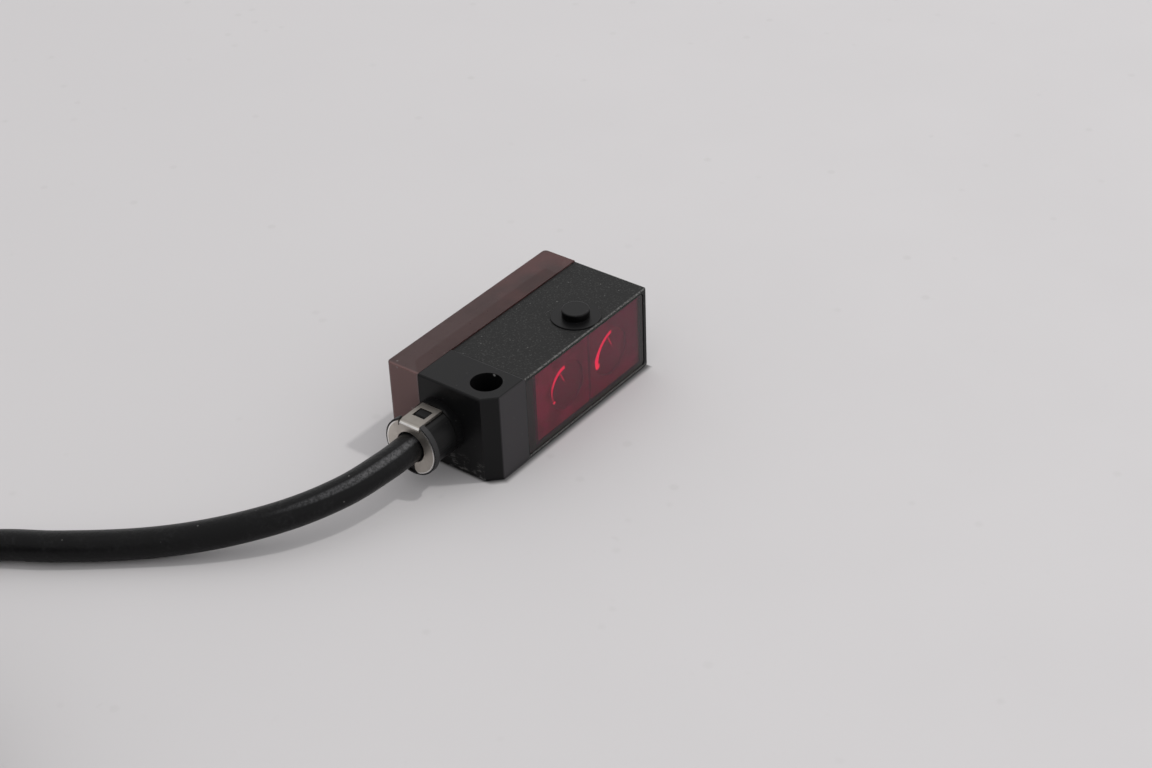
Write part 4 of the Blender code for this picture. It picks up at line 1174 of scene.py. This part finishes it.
class SENSOR_OT_electronics(bpy.types.Operator):
    """Give the board, its packages and the inner wires their finishes"""

    bl_idname = "sensor.electronics"
    bl_label = "Board and inner wires"

    def execute(self, context):
        self.settings = context.scene.sensor_board
        dress(make_finish("solder_mask", {"Specular IOR Level": 0.5}, self.board), "circuit_board")
        for name in PACKAGES:
            dress(make_finish(f"{name}_package", {}, self.package(name)), name)
        for kind, count, colour in CHIPS:
            for number in range(1, count + 1):
                name = f"{kind}_{number}"
                dress(make_finish(f"{name}_body", {}, self.chip(name, colour)), name)
        for colour, body, die in INDICATORS:
            name = f"indicator_led_{colour}"
            lamp = self.indicator(name, body, die)
            dress(make_finish(f"{name}_epoxy", {"Roughness": 0.15}, lamp), name)
        for colour, insulation in wire_materials().items():
            dress(insulation, f"conductor_{colour}")
        return {"FINISHED"}

    def board(self, recipe):
        """Green solder mask over raised copper lanes."""
        place = recipe.place()
        waves = {"Vector": place, "Scale": 0.62, "Distortion": 3.0, "Detail": 0.0}
        lanes = recipe.node("ShaderNodeTexWave", {"bands_direction": "Z"}, waves)
        traces = recipe.ramp(lanes, 0.55, 0.62)
        mask = self.settings.mask
        return {
            "Base Color": recipe.mix(traces, mask, shade(mask, 1.5)),
            "Roughness": 0.3 + 0.1 * recipe.noise(place, 0.5),
            "Normal": recipe.bump(traces * 0.02),
        }

    def package(self, name):
        """A black package with a round dimple near its first leg."""
        low, _ = node_box(name)

        def vary(recipe):
            place = recipe.place()
            x, y, z = recipe.axes(place)
            dot = span(x - (low.x + DOT_INSET), z - (low.z + DOT_INSET))
            dot = recipe.fall(dot, 0.16, 0.2)
            grain = recipe.noise(place, 0.08)
            return {
                "Base Color": recipe.mix(dot, (0.014, 0.014, 0.015), (0.05, 0.05, 0.052)),
                "Roughness": 0.45 + 0.2 * grain,
                "Normal": recipe.bump(grain * 0.01 - dot * 0.03),
            }

        return vary

    def chip(self, name, colour):
        """A chip capacitor or resistor with a metal cap on each end."""
        low, high = node_box(name)
        middle = (low.x + high.x) / 2
        half = (high.x - low.x) / 2

        def vary(recipe):
            place = recipe.place()
            x, y, z = recipe.axes(place)
            ends = recipe.ramp(abs(x - middle), half * 0.58, half * 0.62)
            return {
                "Base Color": recipe.mix(ends, colour, self.settings.metal),
                "Metallic": ends,
                "Roughness": 0.4 + 0.15 * recipe.noise(place, 0.1),
            }

        return vary

    def indicator(self, name, body, die):
        """An indicator lamp with its brighter die in the middle."""
        low, high = node_box(name)
        centre = ((low.x + high.x) / 2, (low.z + high.z) / 2)

        def vary(recipe):
            x, y, z = recipe.axes(recipe.place())
            area = recipe.patch(x, z, centre, (0.3, 0.4), (0.2, 0.28))
            return {"Base Color": recipe.mix(area, body, die)}

        return vary


class SENSOR_PT_panel(bpy.types.Panel):
    """The sensor's pieces and the values that a user may change"""

    bl_label = "Background suppression sensor"
    bl_idname = "SENSOR_PT_panel"
    bl_space_type = "VIEW_3D"
    bl_region_type = "UI"
    bl_category = "Sensor"

    def draw(self, context):
        for operator, group in zip(OPERATORS, SETTINGS):
            box = self.layout.box()
            box.operator(operator.bl_idname)
            settings = getattr(context.scene, group)
            for name in settings.bl_rna.properties.keys():
                if name not in ("rna_type", "name"):
                    box.prop(settings, name)


OPERATORS = (
    SENSOR_OT_stage,
    SENSOR_OT_cord,
    SENSOR_OT_housing,
    SENSOR_OT_cover,
    SENSOR_OT_optics,
    SENSOR_OT_clip,
    SENSOR_OT_electronics,
)
CLASSES = (*SETTINGS.values(), *OPERATORS, SENSOR_PT_panel)


def register():
    for item in CLASSES:
        bpy.utils.register_class(item)
    for name, group in SETTINGS.items():
        setattr(bpy.types.Scene, name, PointerProperty(type=group))


def unregister():
    for name in SETTINGS:
        delattr(bpy.types.Scene, name)
    for item in reversed(CLASSES):
        bpy.utils.unregister_class(item)


def main():
    register()
    bpy.ops.sensor.stage()
    bpy.ops.sensor.cord()
    bpy.ops.sensor.housing()
    bpy.ops.sensor.cover()
    bpy.ops.sensor.optics()
    bpy.ops.sensor.clip()
    bpy.ops.sensor.electronics()


if __name__ == "__main__":
    main()
